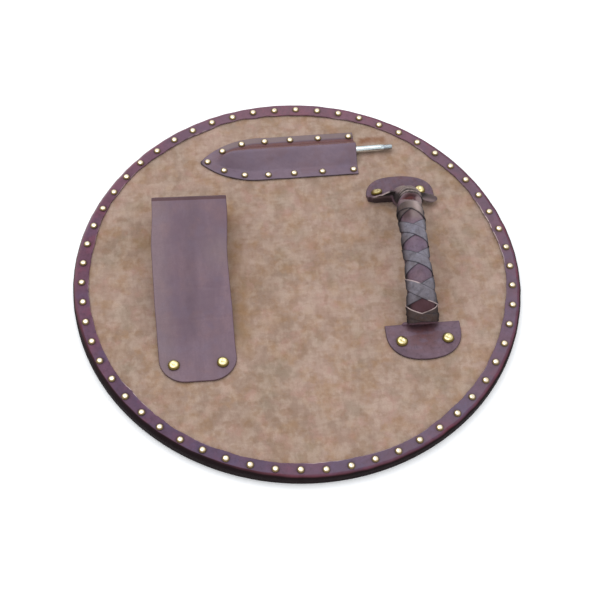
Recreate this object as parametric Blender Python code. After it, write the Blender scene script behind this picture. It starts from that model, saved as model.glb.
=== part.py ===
"""A round wooden shield, lying with its back up.

A flat board is covered in leather, which wraps round the edge onto the back as a tacked band,
and the back is lined with suede. On the lining are an arm strap, a laced hand grip, and a
sheath that holds a steel spike.

Metres. +Z runs up through the back, +Y from the near ends of the strap and the grip to their
far ends, and +X from the strap to the grip. The origin is the middle of the front face, on
which the shield lies.
"""
import math

import bmesh
import bpy
from mathutils import Matrix, Vector

# Clearance between pieces that touch
GAP = 0.0003

# Board, cover and lining
SHIELD_DIAMETER = 0.500
BOARD_THICKNESS = 0.008
COVER_THICKNESS = 0.0022
LINING_THICKNESS = 0.0015
BAND_WIDTH = 0.018
EDGE_ROUND = 0.004
ROUND_SIDES = 72

# Brass tacks and rivets
TACK_HEAD_DIAMETER = 0.0079
TACK_HEAD_HEIGHT = 0.0026
TACK_HEAD_SKIRT = 0.0009
TACK_PIN_DIAMETER = 0.0018
TACK_PIN_LENGTH = 0.008
RIM_TACKS = 58
RIM_TACK_INSET = 0.010
RIM_TACK_TURN = math.radians(-2.26)
RIVET_HEAD_DIAMETER = 0.0128
RIVET_HEAD_HEIGHT = 0.0036
RIVET_SHANK_DIAMETER = 0.004

# Spike: a flat blade of diamond section, a round shank and a thinner end
BLADE_LENGTH = 0.150
BLADE_WIDTH = 0.020
BLADE_THICKNESS = 0.008
BLADE_SHOULDER = 0.006
SHANK_DIAMETER = 0.0078
SHANK_LENGTH = 0.032
SCREW_DIAMETER = 0.0060
SCREW_LENGTH = 0.012
SCREW_STEP = 0.0004
SCREW_TIP_BEVEL = 0.001

# Sheath: one sheet, raised in a ridge over the blade, its flanges tacked down
SHEATH_THICKNESS = 0.002
SHEATH_RIM_MARGIN = 0.033
SHEATH_GRIP_MARGIN = 0.0005
FLANGE_WIDTH = 0.0135
POCKET_SLACK = 0.008
POCKET_HEADROOM = 0.0065
RIDGE_OFFSET = 0.0025
NOSE_LENGTH = 0.069
NOSE_MARGIN = 0.0255
NOSE_FLAT = 0.002
NOSE_FULL_SHARE = 0.8
NOSE_TIP_CUT = 0.0012
FOLD_ROUNDING = 0.12
MOUTH_MARGIN = 0.010
SHEATH_TACKS_A_SIDE = 6
SHEATH_TACK_INSET = 0.0065
MOUTH_TACK_INSET = 0.0054
NOSE_TACK_INSET = 0.0095
SHEATH_TACK_SPACING_RATIO = 0.91

# Arm strap: a long ramp up to a folded crest, then down to a short tab
STRAP_WIDTH = 0.0835
STRAP_THICKNESS = 0.0026
STRAP_LENGTH = 0.2395
STRAP_RISE = 0.050
STRAP_RIM_MARGIN = 0.0755
STRAP_SHEATH_MARGIN = 0.025
STRAP_TURN = math.radians(-0.9)
STRAP_NEAR_TAB = 0.040
STRAP_FAR_TAB = 0.018
STRAP_FOLD_RUN = 0.009
STRAP_BEND_RADIUS = 0.110
STRAP_CREST_RADIUS = 0.0035
STRAP_FOOT_RADIUS = 0.004
STRAP_NEAR_CORNER = 0.029
STRAP_FAR_CORNER = 0.012
STRAP_RIVET_SPACING = 0.0523
STRAP_NEAR_RIVET_INSET = 0.0227
STRAP_FAR_RIVET_INSET = 0.0090

# Hand grip: rolled leather on an arched line, with a half-round tab at each end
GRIP_LENGTH = 0.2492
GRIP_DIAMETER = 0.0274
GRIP_RIM_MARGIN = 0.062
GRIP_SHEATH_MARGIN = 0.0078
GRIP_NEAR_HEIGHT = 0.0075
GRIP_ELBOW_HEIGHT = 0.030
GRIP_CREST_HEIGHT = 0.0505
GRIP_SHOULDER_HEIGHT = 0.0400
GRIP_FAR_HEIGHT = 0.004
GRIP_ELBOW_RUN = 0.030
GRIP_SHOULDER_RUN = 0.030
GRIP_NECK_RUN = 0.0288
GRIP_NECK_ASIDE = 0.0045
GRIP_NECK_ASIDE_LEAD = 0.008
GRIP_NECK_ASIDE_RUN = 0.018
GRIP_ELBOW_RADIUS = 0.045
GRIP_CREST_RADIUS = 0.050
GRIP_SHOULDER_RADIUS = 0.016
GRIP_TAB_OVERLAP = 0.004
GRIP_NEAR_WIDTH = 0.0330
GRIP_NEAR_THICKNESS = 0.017
GRIP_FLARE_LENGTH = 0.075
GRIP_SWELL_LENGTH = 0.032
TAB_WIDTH = 0.083
TAB_THICKNESS = 0.0026
NEAR_TAB_DEPTH = 0.0455
FAR_TAB_DEPTH = 0.0359
TAB_SIDE = 0.010
TAB_ROUNDNESS = 2.3
TAB_LIFT_DEPTH = 0.0074
TAB_CORNER_LIFT = 0.006
TAB_NECK_LIFT = 0.016
GRIP_RIVET_SPACING = 0.0508
NEAR_GRIP_RIVET_INSET = 0.0236
FAR_GRIP_RIVET_INSET = 0.0221

# Lace: one flat thong, wound up the grip and back down across itself
LACE_WIDTH = 0.0125
LACE_THICKNESS = 0.0012
LACE_STEP = 0.0006
LACE_CLEARANCE = 0.0007
LACE_CROSSINGS = 5
LACE_NEAR_MARGIN = 0.0065
LACE_FAR_MARGIN = 0.016
LACE_END_CROWDING = 0.12
GRIP_SIDES = 14
GRIP_ROWS = 24

# Heights of the layers
BOARD_BOTTOM = COVER_THICKNESS + GAP
BOARD_TOP = BOARD_BOTTOM + BOARD_THICKNESS
LINING_BOTTOM = BOARD_TOP + GAP
LINING_TOP = LINING_BOTTOM + LINING_THICKNESS
BAND_BOTTOM = LINING_TOP + GAP
BAND_TOP = BAND_BOTTOM + COVER_THICKNESS
BACK = LINING_TOP + GAP

# Places on the back, set out from the inner edge of the band
SHIELD_RADIUS = SHIELD_DIAMETER / 2
BACK_RADIUS = SHIELD_RADIUS - BAND_WIDTH
BOARD_RADIUS = SHIELD_RADIUS - COVER_THICKNESS - GAP
POCKET_HALF_WIDTH = BLADE_WIDTH / 2 + POCKET_SLACK
SHEATH_HALF_WIDTH = POCKET_HALF_WIDTH + FLANGE_WIDTH
SHEATH_LENGTH = BLADE_LENGTH + NOSE_MARGIN + MOUTH_MARGIN
SHEATH_RIDGE = BLADE_THICKNESS + POCKET_HEADROOM
SHEATH_Y = BACK_RADIUS - SHEATH_RIM_MARGIN - SHEATH_HALF_WIDTH
SHEATH_NEAR_EDGE = SHEATH_Y - SHEATH_HALF_WIDTH
GRIP_X = BACK_RADIUS - GRIP_RIM_MARGIN - TAB_WIDTH / 2
GRIP_FAR_END = SHEATH_NEAR_EDGE - GRIP_SHEATH_MARGIN
GRIP_NEAR_END = GRIP_FAR_END - GRIP_LENGTH
SHEATH_MOUTH = GRIP_X - TAB_WIDTH / 2 - SHEATH_GRIP_MARGIN
STRAP_X = STRAP_WIDTH / 2 + STRAP_RIM_MARGIN - BACK_RADIUS
STRAP_FAR_END = SHEATH_NEAR_EDGE - STRAP_SHEATH_MARGIN


def material(name, colour, roughness, metallic=0.0):
    """Return a plain Principled material."""
    made = bpy.data.materials.new(name)
    made.use_nodes = True
    shader = made.node_tree.nodes["Principled BSDF"]
    shader.inputs["Base Color"].default_value = (*colour, 1.0)
    shader.inputs["Roughness"].default_value = roughness
    shader.inputs["Metallic"].default_value = metallic
    return made


def add_object(name, mesh, finish=None, smooth_angle=math.radians(35)):
    """Put a mesh into the scene as a named object."""
    made = bpy.data.objects.new(name, mesh)
    bpy.context.scene.collection.objects.link(made)
    if finish:
        mesh.materials.append(finish)
    mesh.shade_smooth()
    mesh.set_sharp_from_angle(angle=smooth_angle)
    return made


def mesh_from(shape, name):
    """Turn a bmesh into a mesh whose faces point out."""
    bmesh.ops.recalc_face_normals(shape, faces=shape.faces)
    mesh = bpy.data.meshes.new(name)
    shape.to_mesh(mesh)
    shape.free()
    return mesh


def add_loft(shape, rings):
    """Skin a run of equal rings of points, and close both ends."""
    loops = [[shape.verts.new(point) for point in ring] for ring in rings]
    count = len(loops[0])
    for lower, upper in zip(loops, loops[1:]):
        for k in range(count):
            shape.faces.new((lower[k], lower[(k + 1) % count], upper[(k + 1) % count], upper[k]))
    shape.faces.new(loops[0][::-1])
    shape.faces.new(loops[-1])


def loft(rings, name):
    """Return the closed mesh of one loft."""
    shape = bmesh.new()
    add_loft(shape, rings)
    return mesh_from(shape, name)


def add_lathe(shape, profile, sides, place=Vector((0.0, 0.0, 0.0))):
    """Turn a profile of (radius, height) about Z; it starts and ends on the axis."""
    rings = []
    for radius, height in profile[1:-1]:
        ring = []
        for k in range(sides):
            angle = math.tau * k / sides
            offset = Vector((radius * math.cos(angle), radius * math.sin(angle), height))
            ring.append(shape.verts.new(place + offset))
        rings.append(ring)
    for lower, upper in zip(rings, rings[1:]):
        for k in range(sides):
            shape.faces.new((lower[k], lower[(k + 1) % sides], upper[(k + 1) % sides], upper[k]))
    for ring, (_, height) in ((rings[0], profile[0]), (rings[-1], profile[-1])):
        pole = shape.verts.new(place + Vector((0.0, 0.0, height)))
        for k in range(sides):
            shape.faces.new((ring[k], ring[(k + 1) % sides], pole))


def lathe(profile, sides, name):
    """Return the closed mesh of one turned profile."""
    shape = bmesh.new()
    add_lathe(shape, profile, sides)
    return mesh_from(shape, name)


def slab(top, bottom, name):
    """Close two equal grids of points into a sheet with a thickness."""
    shape = bmesh.new()
    upper = [[shape.verts.new(point) for point in row] for row in top]
    lower = [[shape.verts.new(point) for point in row] for row in bottom]
    for grid in (upper, lower):
        for row, after in zip(grid, grid[1:]):
            for k in range(len(row) - 1):
                shape.faces.new((row[k], row[k + 1], after[k + 1], after[k]))
    for side in (0, -1):
        for k in range(len(upper[0]) - 1):
            shape.faces.new((upper[side][k], upper[side][k + 1], lower[side][k + 1], lower[side][k]))
        for i in range(len(upper) - 1):
            shape.faces.new((upper[i][side], upper[i + 1][side], lower[i + 1][side], lower[i][side]))
    return mesh_from(shape, name)


def triangulate(mesh):
    """Split a mesh's faces into triangles, so that each is flat."""
    shape = bmesh.new()
    shape.from_mesh(mesh)
    bmesh.ops.triangulate(shape, faces=shape.faces)
    shape.to_mesh(mesh)
    shape.free()


def combine(target, other, operation):
    """Join another object to the target or cut it out, and delete the other object."""
    triangulate(target.data)
    triangulate(other.data)
    modifier = target.modifiers.new(operation.lower(), "BOOLEAN")
    modifier.operation = operation
    modifier.solver = "EXACT"
    modifier.object = other
    evaluated = target.evaluated_get(bpy.context.evaluated_depsgraph_get())
    result = bpy.data.meshes.new_from_object(evaluated)
    target.modifiers.clear()
    target.data = result
    bpy.data.objects.remove(other)


def drill(target, places, diameter, sides, bottom, top):
    """Cut one upright hole at each place, from the bottom height to the top height."""
    shape = bmesh.new()
    for place in places:
        radius = (diameter / 2 + GAP) / math.cos(math.pi / sides)
        profile = ((0.0, bottom), (radius, bottom), (radius, top), (0.0, top))
        add_lathe(shape, profile, sides, Vector((place.x, place.y, 0.0)))
    combine(target, add_object("drill", mesh_from(shape, "drill")), "DIFFERENCE")


def rounded_path(corners, radii, arc_steps):
    """Return points along straight runs whose inner corners are rounded into arcs."""
    points = [Vector(corners[0])]
    for before, corner, after, radius in zip(corners, corners[1:], corners[2:], radii):
        corner = Vector(corner)
        back = (Vector(before) - corner).normalized()
        ahead = (Vector(after) - corner).normalized()
        half_turn = (math.pi - back.angle(ahead)) / 2
        reach = radius * math.tan(half_turn)
        centre = corner + (back + ahead).normalized() * (radius / math.cos(half_turn))
        start = corner + back * reach - centre
        end = corner + ahead * reach - centre
        for k in range(arc_steps + 1):
            share = k / arc_steps
            weight_start = math.sin((1 - share) * 2 * half_turn)
            weight_end = math.sin(share * 2 * half_turn)
            points.append(centre + (start * weight_start + end * weight_end) / math.sin(2 * half_turn))
    points.append(Vector(corners[-1]))
    return points


class Line:
    """A run of 2-D points, read by the distance along it."""

    def __init__(self, points):
        self.points = points
        self.marks = [0.0]
        for before, after in zip(points, points[1:]):
            self.marks.append(self.marks[-1] + (after - before).length)
        self.length = self.marks[-1]

    def at(self, distance):
        """Return the point at a distance, and the line's direction there."""
        index = 1
        while index < len(self.marks) - 1 and self.marks[index] < distance:
            index += 1
        before, after = self.points[index - 1], self.points[index]
        share = (distance - self.marks[index - 1]) / (self.marks[index] - self.marks[index - 1])
        return before.lerp(after, share), (after - before).normalized()

    def along(self, distance, step):
        """Return the point at a distance, and a direction smoothed over a step each way."""
        low = self.at(max(distance - step, 0.0))[0]
        high = self.at(min(distance + step, self.length))[0]
        return self.at(distance)[0], (high - low).normalized()


def smooth_step(share):
    """Ease from 0 to 1."""
    share = min(max(share, 0.0), 1.0)
    return share * share * (3 - 2 * share)


def pinned_head(name, diameter, height, pin_diameter, pin_length, sides, finish):
    """Make a domed head on a round pin, with the head's seat at height 0."""
    pin = pin_diameter / 2
    head = diameter / 2
    profile = [(0.0, -pin_length), (pin, -pin_length), (pin, 0.0)]
    for turn in (0.0, math.pi / 4):
        profile.append((head * math.cos(turn), height * math.sin(turn)))
    profile.append((0.0, height))
    return add_object(name, lathe(profile, sides, name), finish)


def make_cover(leather):
    """Make the leather cover: front face, wrapped edge and back band, with the rim tacks fused on."""
    outer_round = []
    for centre_z, first_turn in ((EDGE_ROUND, -math.pi / 2), (BAND_TOP - EDGE_ROUND, 0.0)):
        for k in range(3):
            angle = first_turn + math.pi / 4 * k
            radius = SHIELD_RADIUS - EDGE_ROUND + EDGE_ROUND * math.cos(angle)
            outer_round.append((radius, centre_z + EDGE_ROUND * math.sin(angle)))
    inner_radius = SHIELD_RADIUS - COVER_THICKNESS
    profile = [(0.0, 0.0), *outer_round, (BACK_RADIUS, BAND_TOP), (BACK_RADIUS, BAND_BOTTOM),
               (inner_radius, BAND_BOTTOM), (inner_radius, COVER_THICKNESS), (0.0, COVER_THICKNESS)]
    cover = add_object("leather_cover", lathe(profile, ROUND_SIDES, "leather_cover"), leather)

    heads = bmesh.new()
    ring_radius = SHIELD_RADIUS - RIM_TACK_INSET
    head = TACK_HEAD_DIAMETER / 2
    sunk = BAND_TOP - COVER_THICKNESS / 2
    skirt = BAND_TOP + TACK_HEAD_SKIRT
    profile = ((0.0, sunk), (head, sunk), (head, skirt), (0.0, BAND_TOP + TACK_HEAD_HEIGHT))
    for k in range(RIM_TACKS):
        angle = RIM_TACK_TURN + math.tau * k / RIM_TACKS
        place = Vector((ring_radius * math.cos(angle), ring_radius * math.sin(angle), 0.0))
        add_lathe(heads, profile, 6, place)
    combine(cover, add_object("heads", mesh_from(heads, "heads")), "UNION")
    return cover


def make_disc(name, radius, bottom, top, finish):
    """Make a flat round plate."""
    profile = ((0.0, bottom), (radius, bottom), (radius, top), (0.0, top))
    return add_object(name, lathe(profile, ROUND_SIDES, name), finish)


def strap_frame():
    """Return the matrix from the strap's own axes, with its far end at y = 0, to the world's."""
    return Matrix.Translation((STRAP_X, STRAP_FAR_END, BACK)) @ Matrix.Rotation(STRAP_TURN, 4, "Z")


def strap_rivet_places():
    """Return the four rivet places, near pair first."""
    places = []
    for y in (STRAP_NEAR_RIVET_INSET - STRAP_LENGTH, -STRAP_FAR_RIVET_INSET):
        for side in (-1, 1):
            places.append(strap_frame() @ Vector((side * STRAP_RIVET_SPACING / 2, y, 0.0)))
    return places


def make_strap(leather):
    """Make the arm strap as one folded sheet."""
    middle = STRAP_THICKNESS / 2
    foot_y = -STRAP_FAR_TAB
    crest_y = foot_y - STRAP_FOLD_RUN
    corners = ((-STRAP_LENGTH, middle), (STRAP_NEAR_TAB - STRAP_LENGTH, middle),
               (crest_y, STRAP_RISE - middle), (foot_y, middle), (0.0, middle))
    radii = (STRAP_BEND_RADIUS, STRAP_CREST_RADIUS, STRAP_FOOT_RADIUS)
    line = Line(rounded_path(corners, radii, 5))
    near_arc = [STRAP_NEAR_CORNER * (1 - math.cos(math.pi / 2 * k / 5)) for k in range(6)]
    far_arc = [line.length - STRAP_FAR_CORNER * (1 - math.cos(math.pi / 2 * k / 4)) for k in range(5)]
    body = [mark for mark in line.marks if STRAP_NEAR_CORNER < mark < line.length - STRAP_FAR_CORNER]
    distances = sorted(near_arc + body + far_arc)
    top, bottom = [], []
    for distance in distances:
        short = max(STRAP_NEAR_CORNER - distance, 0.0)
        narrowed = STRAP_NEAR_CORNER - math.sqrt(STRAP_NEAR_CORNER ** 2 - short ** 2)
        short = max(STRAP_FAR_CORNER - (line.length - distance), 0.0)
        narrowed += STRAP_FAR_CORNER - math.sqrt(STRAP_FAR_CORNER ** 2 - short ** 2)
        half_width = STRAP_WIDTH / 2 - narrowed
        point, direction = line.along(distance, middle / 3)
        normal = Vector((-direction.y, direction.x)) * middle
        for grid, sign in ((top, 1), (bottom, -1)):
            edge = point + normal * sign
            grid.append([Vector((half_width * share, edge.x, edge.y)) for share in (-1, 0, 1)])
    strap = add_object("arm_strap", slab(top, bottom, "arm_strap"), leather)
    strap.data.transform(strap_frame())
    drill(strap, strap_rivet_places(), RIVET_SHANK_DIAMETER, 8, 0.0, BACK + STRAP_THICKNESS * 2)
    return strap


def grip_line():
    """Return the middle line of the grip as (y, height above the lining)."""
    near = GRIP_NEAR_END + NEAR_TAB_DEPTH - GRIP_TAB_OVERLAP
    far = GRIP_FAR_END - FAR_TAB_DEPTH + GRIP_TAB_OVERLAP
    shoulder = far - GRIP_NECK_RUN
    crest = shoulder - GRIP_SHOULDER_RUN
    corners = ((near, GRIP_NEAR_HEIGHT), (near + GRIP_ELBOW_RUN, GRIP_ELBOW_HEIGHT),
               (crest, GRIP_CREST_HEIGHT), (shoulder, GRIP_SHOULDER_HEIGHT), (far, GRIP_FAR_HEIGHT))
    return Line(rounded_path(corners, (GRIP_ELBOW_RADIUS, GRIP_CREST_RADIUS, GRIP_SHOULDER_RADIUS), 6))


def grip_ring(line, distance, grow, angles):
    """Return points round the grip at a distance along it, grown outward by an amount."""
    flare = smooth_step(distance / GRIP_FLARE_LENGTH)
    swell = smooth_step(distance / GRIP_SWELL_LENGTH)
    half_width = GRIP_NEAR_WIDTH / 2 * (1 - flare) + GRIP_DIAMETER / 2 * flare + grow
    half_height = GRIP_NEAR_THICKNESS / 2 * (1 - swell) + GRIP_DIAMETER / 2 * swell + grow
    neck = line.length - GRIP_NECK_RUN - GRIP_SHOULDER_RUN
    aside = GRIP_NECK_ASIDE * smooth_step((distance - neck + GRIP_NECK_ASIDE_LEAD) / GRIP_NECK_ASIDE_RUN)
    point, direction = line.along(distance, GRIP_DIAMETER / 4.5)
    normal = Vector((-direction.y, direction.x))
    ring = []
    for angle in angles:
        across = half_width * math.sin(angle)
        up = normal * half_height * math.cos(angle)
        ring.append(Vector((GRIP_X + aside + across, point.x + up.x, BACK + point.y + up.y)))
    return ring


def grip_rivet_places():
    """Return the four rivet places, near pair first."""
    places = []
    for y in (GRIP_NEAR_END + NEAR_GRIP_RIVET_INSET, GRIP_FAR_END - FAR_GRIP_RIVET_INSET):
        for side in (-1, 1):
            places.append(Vector((GRIP_X + side * GRIP_RIVET_SPACING / 2, y, 0.0)))
    return places


def make_tab(name, end_y, inward, depth, corner_lift, neck_lift):
    """Make one half-round tab; its straight edge lies inward of its end and may be lifted."""
    top, bottom = [], []
    columns = 12
    rows = (0.0, 0.12, 0.24, 0.5, 1.0)
    for i in range(columns + 1):
        across = math.sin(math.pi / 2 * (2 * i / columns - 1))
        bow = (1 - abs(across) ** TAB_ROUNDNESS) ** (1 / TAB_ROUNDNESS)
        reach = TAB_SIDE + (depth - TAB_SIDE) * bow
        upper, lower = [], []
        for share in rows:
            run = reach * share
            lift = corner_lift + (neck_lift - corner_lift) * (1 - across * across)
            lift *= max(1 - run / TAB_LIFT_DEPTH, 0.0) ** 2
            x = GRIP_X + TAB_WIDTH / 2 * across
            y = end_y + inward * (depth - run)
            upper.append(Vector((x, y, BACK + lift + TAB_THICKNESS)))
            lower.append(Vector((x, y, BACK + lift)))
        top.append(upper)
        bottom.append(lower)
    return add_object(name, slab(top, bottom, name))


def trim_below(target, height):
    """Cut away what lies below a height."""
    reach = SHIELD_DIAMETER
    profile = ((0.0, height - reach), (reach, height - reach), (reach, height), (0.0, height))
    combine(target, add_object("below", lathe(profile, 8, "below")), "DIFFERENCE")


def make_grip(leather):
    """Make the rolled grip and its two tabs as one piece of leather."""
    line = grip_line()
    angles = [math.tau * k / GRIP_SIDES for k in range(GRIP_SIDES)]
    rings = [grip_ring(line, line.length * k / GRIP_ROWS, 0.0, angles) for k in range(GRIP_ROWS + 1)]
    grip = add_object("hand_grip", loft(rings, "hand_grip"), leather)
    near = make_tab("near_tab", GRIP_NEAR_END, 1, NEAR_TAB_DEPTH, 0.0, 0.0)
    far = make_tab("far_tab", GRIP_FAR_END, -1, FAR_TAB_DEPTH, TAB_CORNER_LIFT, TAB_NECK_LIFT)
    combine(grip, near, "UNION")
    combine(grip, far, "UNION")
    trim_below(grip, BACK)
    drill(grip, grip_rivet_places(), RIVET_SHANK_DIAMETER, 8, 0.0, BACK + TAB_THICKNESS * 2)
    return grip


def make_lace(leather):
    """Make the lace: two bands that wind opposite ways round the grip and cross on its top."""
    line = grip_line()
    near = LACE_NEAR_MARGIN
    far = line.length - GRIP_SHOULDER_RUN - GRIP_NECK_RUN - LACE_FAR_MARGIN
    turns = LACE_CROSSINGS - 1
    steps = turns * GRIP_SIDES
    extra = GRIP_SIDES // 2 - 2
    bands = []
    for hand, lift, twist in ((1, 0.0, 0.0), (-1, LACE_STEP, 0.5)):
        rings = []
        for k in range(-extra, steps + extra + 1):
            share = min(max(2 * k / steps - 1, -1.0), 1.0)
            share *= 1 + LACE_END_CROWDING - LACE_END_CROWDING * share * share
            distance = (near + far) / 2 + (far - near) / 2 * share
            angle = [hand * math.tau * (k + twist) / GRIP_SIDES]
            inner = LACE_CLEARANCE + lift
            outer = inner + LACE_THICKNESS
            half = LACE_WIDTH / 2 - lift
            ring = []
            for grow, shift in ((inner, -half), (outer, -half), (outer, half), (inner, half)):
                ring += grip_ring(line, distance + shift, grow, angle)
            rings.append(ring)
        bands.append(add_object("lace_band", loft(rings, "lace_band")))
    lace, other = bands
    combine(lace, other, "UNION")
    trim_below(lace, BACK + TAB_THICKNESS + GAP)
    lace.name = "grip_lace"
    lace.data.materials.clear()
    lace.data.materials.append(leather)
    return lace


def sheath_half_width(x):
    """Return half the sheath's width at a place along it."""
    nose_start = SHEATH_MOUTH - SHEATH_LENGTH + NOSE_LENGTH
    into = max(nose_start - x, 0.0)
    radius = (NOSE_LENGTH ** 2 + SHEATH_HALF_WIDTH ** 2) / (2 * SHEATH_HALF_WIDTH)
    return SHEATH_HALF_WIDTH - radius + math.sqrt(radius ** 2 - into ** 2)


def sheath_height(x, offset):
    """Return how far the sheath's underside stands above its seat."""
    pocket = sheath_half_width(x) - FLANGE_WIDTH
    if pocket < NOSE_FLAT:
        return 0.0
    ridge = RIDGE_OFFSET * pocket / POCKET_HALF_WIDTH
    side = pocket - ridge if offset > ridge else pocket + ridge
    across = (offset - ridge) / side
    slope = 1 + FOLD_ROUNDING - math.hypot(across * (1 + FOLD_ROUNDING), FOLD_ROUNDING)
    if slope < -FOLD_ROUNDING:
        return 0.0
    if slope < FOLD_ROUNDING:
        slope = (slope + FOLD_ROUNDING) ** 2 / (4 * FOLD_ROUNDING)
    fullness = (pocket - NOSE_FLAT) / (POCKET_HALF_WIDTH * NOSE_FULL_SHARE - NOSE_FLAT)
    return SHEATH_RIDGE * smooth_step(fullness) * slope


def sheath_tack_places():
    """Return the tack places: down the far side, round the nose and back up the near side."""
    first = SHEATH_MOUTH - MOUTH_TACK_INSET
    last = SHEATH_MOUTH - SHEATH_LENGTH + NOSE_TACK_INSET
    steps = 120
    step = (last - first) / steps
    points = []
    for k in range(steps + 1):
        x = first + step * k
        slope = (sheath_half_width(x) - sheath_half_width(x + step)) / step
        inset = SHEATH_TACK_INSET * math.hypot(1.0, slope)
        points.append(Vector((x, max(sheath_half_width(x) - inset, 0.0))))
    edge = Line(points)
    total = sum(SHEATH_TACK_SPACING_RATIO ** k for k in range(SHEATH_TACKS_A_SIDE))
    distance = 0.0
    far_side = []
    for k in range(SHEATH_TACKS_A_SIDE):
        far_side.append(edge.at(distance)[0])
        distance += edge.length * SHEATH_TACK_SPACING_RATIO ** k / total
    tip = edge.at(edge.length)[0]
    places = [Vector((p.x, SHEATH_Y + p.y, 0.0)) for p in far_side]
    places.append(Vector((tip.x, SHEATH_Y, 0.0)))
    places += [Vector((p.x, SHEATH_Y - p.y, 0.0)) for p in reversed(far_side)]
    return places


def make_sheath(leather):
    """Make the sheath as one sheet with a ridge over the blade."""
    nose_start = SHEATH_MOUTH - SHEATH_LENGTH + NOSE_LENGTH
    rows = [SHEATH_MOUTH - (SHEATH_MOUTH - nose_start) * k / 4 for k in range(4)]
    rows += [nose_start - (NOSE_LENGTH - NOSE_TIP_CUT) * k / 11 for k in range(12)]
    columns = (-1.0, -0.65, -0.57, -0.45, -0.2, 0.0, 0.08, 0.2, 0.35, 0.5, 0.57, 0.64, 1.0)
    top, bottom = [], []
    for x in rows:
        half_width = sheath_half_width(x)
        upper, lower = [], []
        for share in columns:
            offset = half_width * share
            height = BACK + sheath_height(x, offset)
            upper.append(Vector((x, SHEATH_Y + offset, height + SHEATH_THICKNESS)))
            lower.append(Vector((x, SHEATH_Y + offset, height)))
        top.append(upper)
        bottom.append(lower)
    sheath = add_object("spike_sheath", slab(top, bottom, "spike_sheath"), leather)
    drill(sheath, sheath_tack_places(), TACK_PIN_DIAMETER, 6, 0.0, BACK + SHEATH_THICKNESS * 2)
    return sheath


def make_spike(steel):
    """Make the spike: a tapered blade that lies on the lining, a shank and a thinner end."""
    base_x = SHEATH_MOUTH - MOUTH_MARGIN
    tilt = BLADE_THICKNESS / 2 / BLADE_LENGTH
    sides = 12
    rings = []

    def add_ring(x, half_width, half_height, diamond):
        middle = Vector((x, SHEATH_Y + RIDGE_OFFSET, BACK + BLADE_THICKNESS / 2 + tilt * (x - base_x)))
        ring = []
        for k in range(sides):
            angle = math.tau * k / sides
            reach = 1 / (abs(math.cos(angle)) + abs(math.sin(angle))) if diamond else 1.0
            offset = (0.0, half_width * reach * math.cos(angle), half_height * reach * math.sin(angle))
            ring.append(middle + Vector(offset))
        rings.append(ring)

    for share in (0.005, 0.35, 0.7, 1.0):
        width = BLADE_WIDTH / 2 * share
        add_ring(base_x - BLADE_LENGTH * (1 - share), width, BLADE_THICKNESS / 2 * share, True)
    shank = SHANK_DIAMETER / 2
    screw = SCREW_DIAMETER / 2
    shank_start = base_x + BLADE_SHOULDER
    shank_end = SHEATH_MOUTH + SHANK_LENGTH
    screw_end = shank_end + SCREW_LENGTH
    screw_tip = screw - SCREW_TIP_BEVEL
    add_ring(shank_start, shank, shank, False)
    add_ring(shank_end, shank, shank, False)
    add_ring(shank_end + SCREW_STEP, screw, screw, False)
    add_ring(screw_end - SCREW_TIP_BEVEL, screw, screw, False)
    add_ring(screw_end, screw_tip, screw_tip, False)
    return add_object("steel_spike", loft(rings, "steel_spike"), steel)


def make_fasteners(brass):
    """Make the separate tacks of the sheath and the rivets of the grip and the strap."""
    for number, place in enumerate(sheath_tack_places(), 1):
        tack = pinned_head(f"sheath_tack_{number:02}", TACK_HEAD_DIAMETER, TACK_HEAD_HEIGHT,
                           TACK_PIN_DIAMETER, TACK_PIN_LENGTH, 6, brass)
        tack.location = place + Vector((0.0, 0.0, BACK + SHEATH_THICKNESS + GAP))
    for label, places, thickness in (("grip_rivet", grip_rivet_places(), TAB_THICKNESS),
                                     ("strap_rivet", strap_rivet_places(), STRAP_THICKNESS)):
        seat = BACK + thickness + GAP
        for number, place in enumerate(places, 1):
            rivet = pinned_head(f"{label}_{number}", RIVET_HEAD_DIAMETER, RIVET_HEAD_HEIGHT,
                                RIVET_SHANK_DIAMETER, seat - BOARD_BOTTOM, 8, brass)
            rivet.location = (place.x, place.y, seat)


def main():
    for old in list(bpy.data.objects):
        bpy.data.objects.remove(old)
    dyed_leather = material("dyed_leather", (0.21, 0.14, 0.17), 0.5)
    lace_leather = material("lace_leather", (0.16, 0.14, 0.15), 0.45)
    suede = material("suede", (0.43, 0.30, 0.21), 0.9)
    wood = material("wood", (0.55, 0.40, 0.24), 0.6)
    brass = material("brass", (0.80, 0.62, 0.28), 0.3, 1.0)
    steel = material("steel", (0.72, 0.73, 0.74), 0.3, 1.0)

    make_cover(dyed_leather)
    board = make_disc("wooden_board", BOARD_RADIUS, BOARD_BOTTOM, BOARD_TOP, wood)
    lining = make_disc("suede_lining", BOARD_RADIUS, LINING_BOTTOM, LINING_TOP, suede)
    rivets = grip_rivet_places() + strap_rivet_places()
    tacks = sheath_tack_places()
    pin_end = BACK + SHEATH_THICKNESS + GAP - TACK_PIN_LENGTH
    for plate in (board, lining):
        drill(plate, rivets, RIVET_SHANK_DIAMETER, 8, 0.0, BAND_TOP)
        drill(plate, tacks, TACK_PIN_DIAMETER, 6, pin_end - GAP, BAND_TOP)
    make_strap(dyed_leather)
    make_grip(dyed_leather)
    make_lace(lace_leather)
    make_sheath(dyed_leather)
    make_spike(steel)
    make_fasteners(brass)


main()
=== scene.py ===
"""The looks of a round wooden shield that lies with its back up.

Metres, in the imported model's frame: +Z runs up through the back, +Y from the near ends of the
strap and the grip to their far ends, and +X from the strap to the grip.
"""
import math

import bmesh
import bpy
import numpy as np
from mathutils import Matrix, Vector


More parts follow.
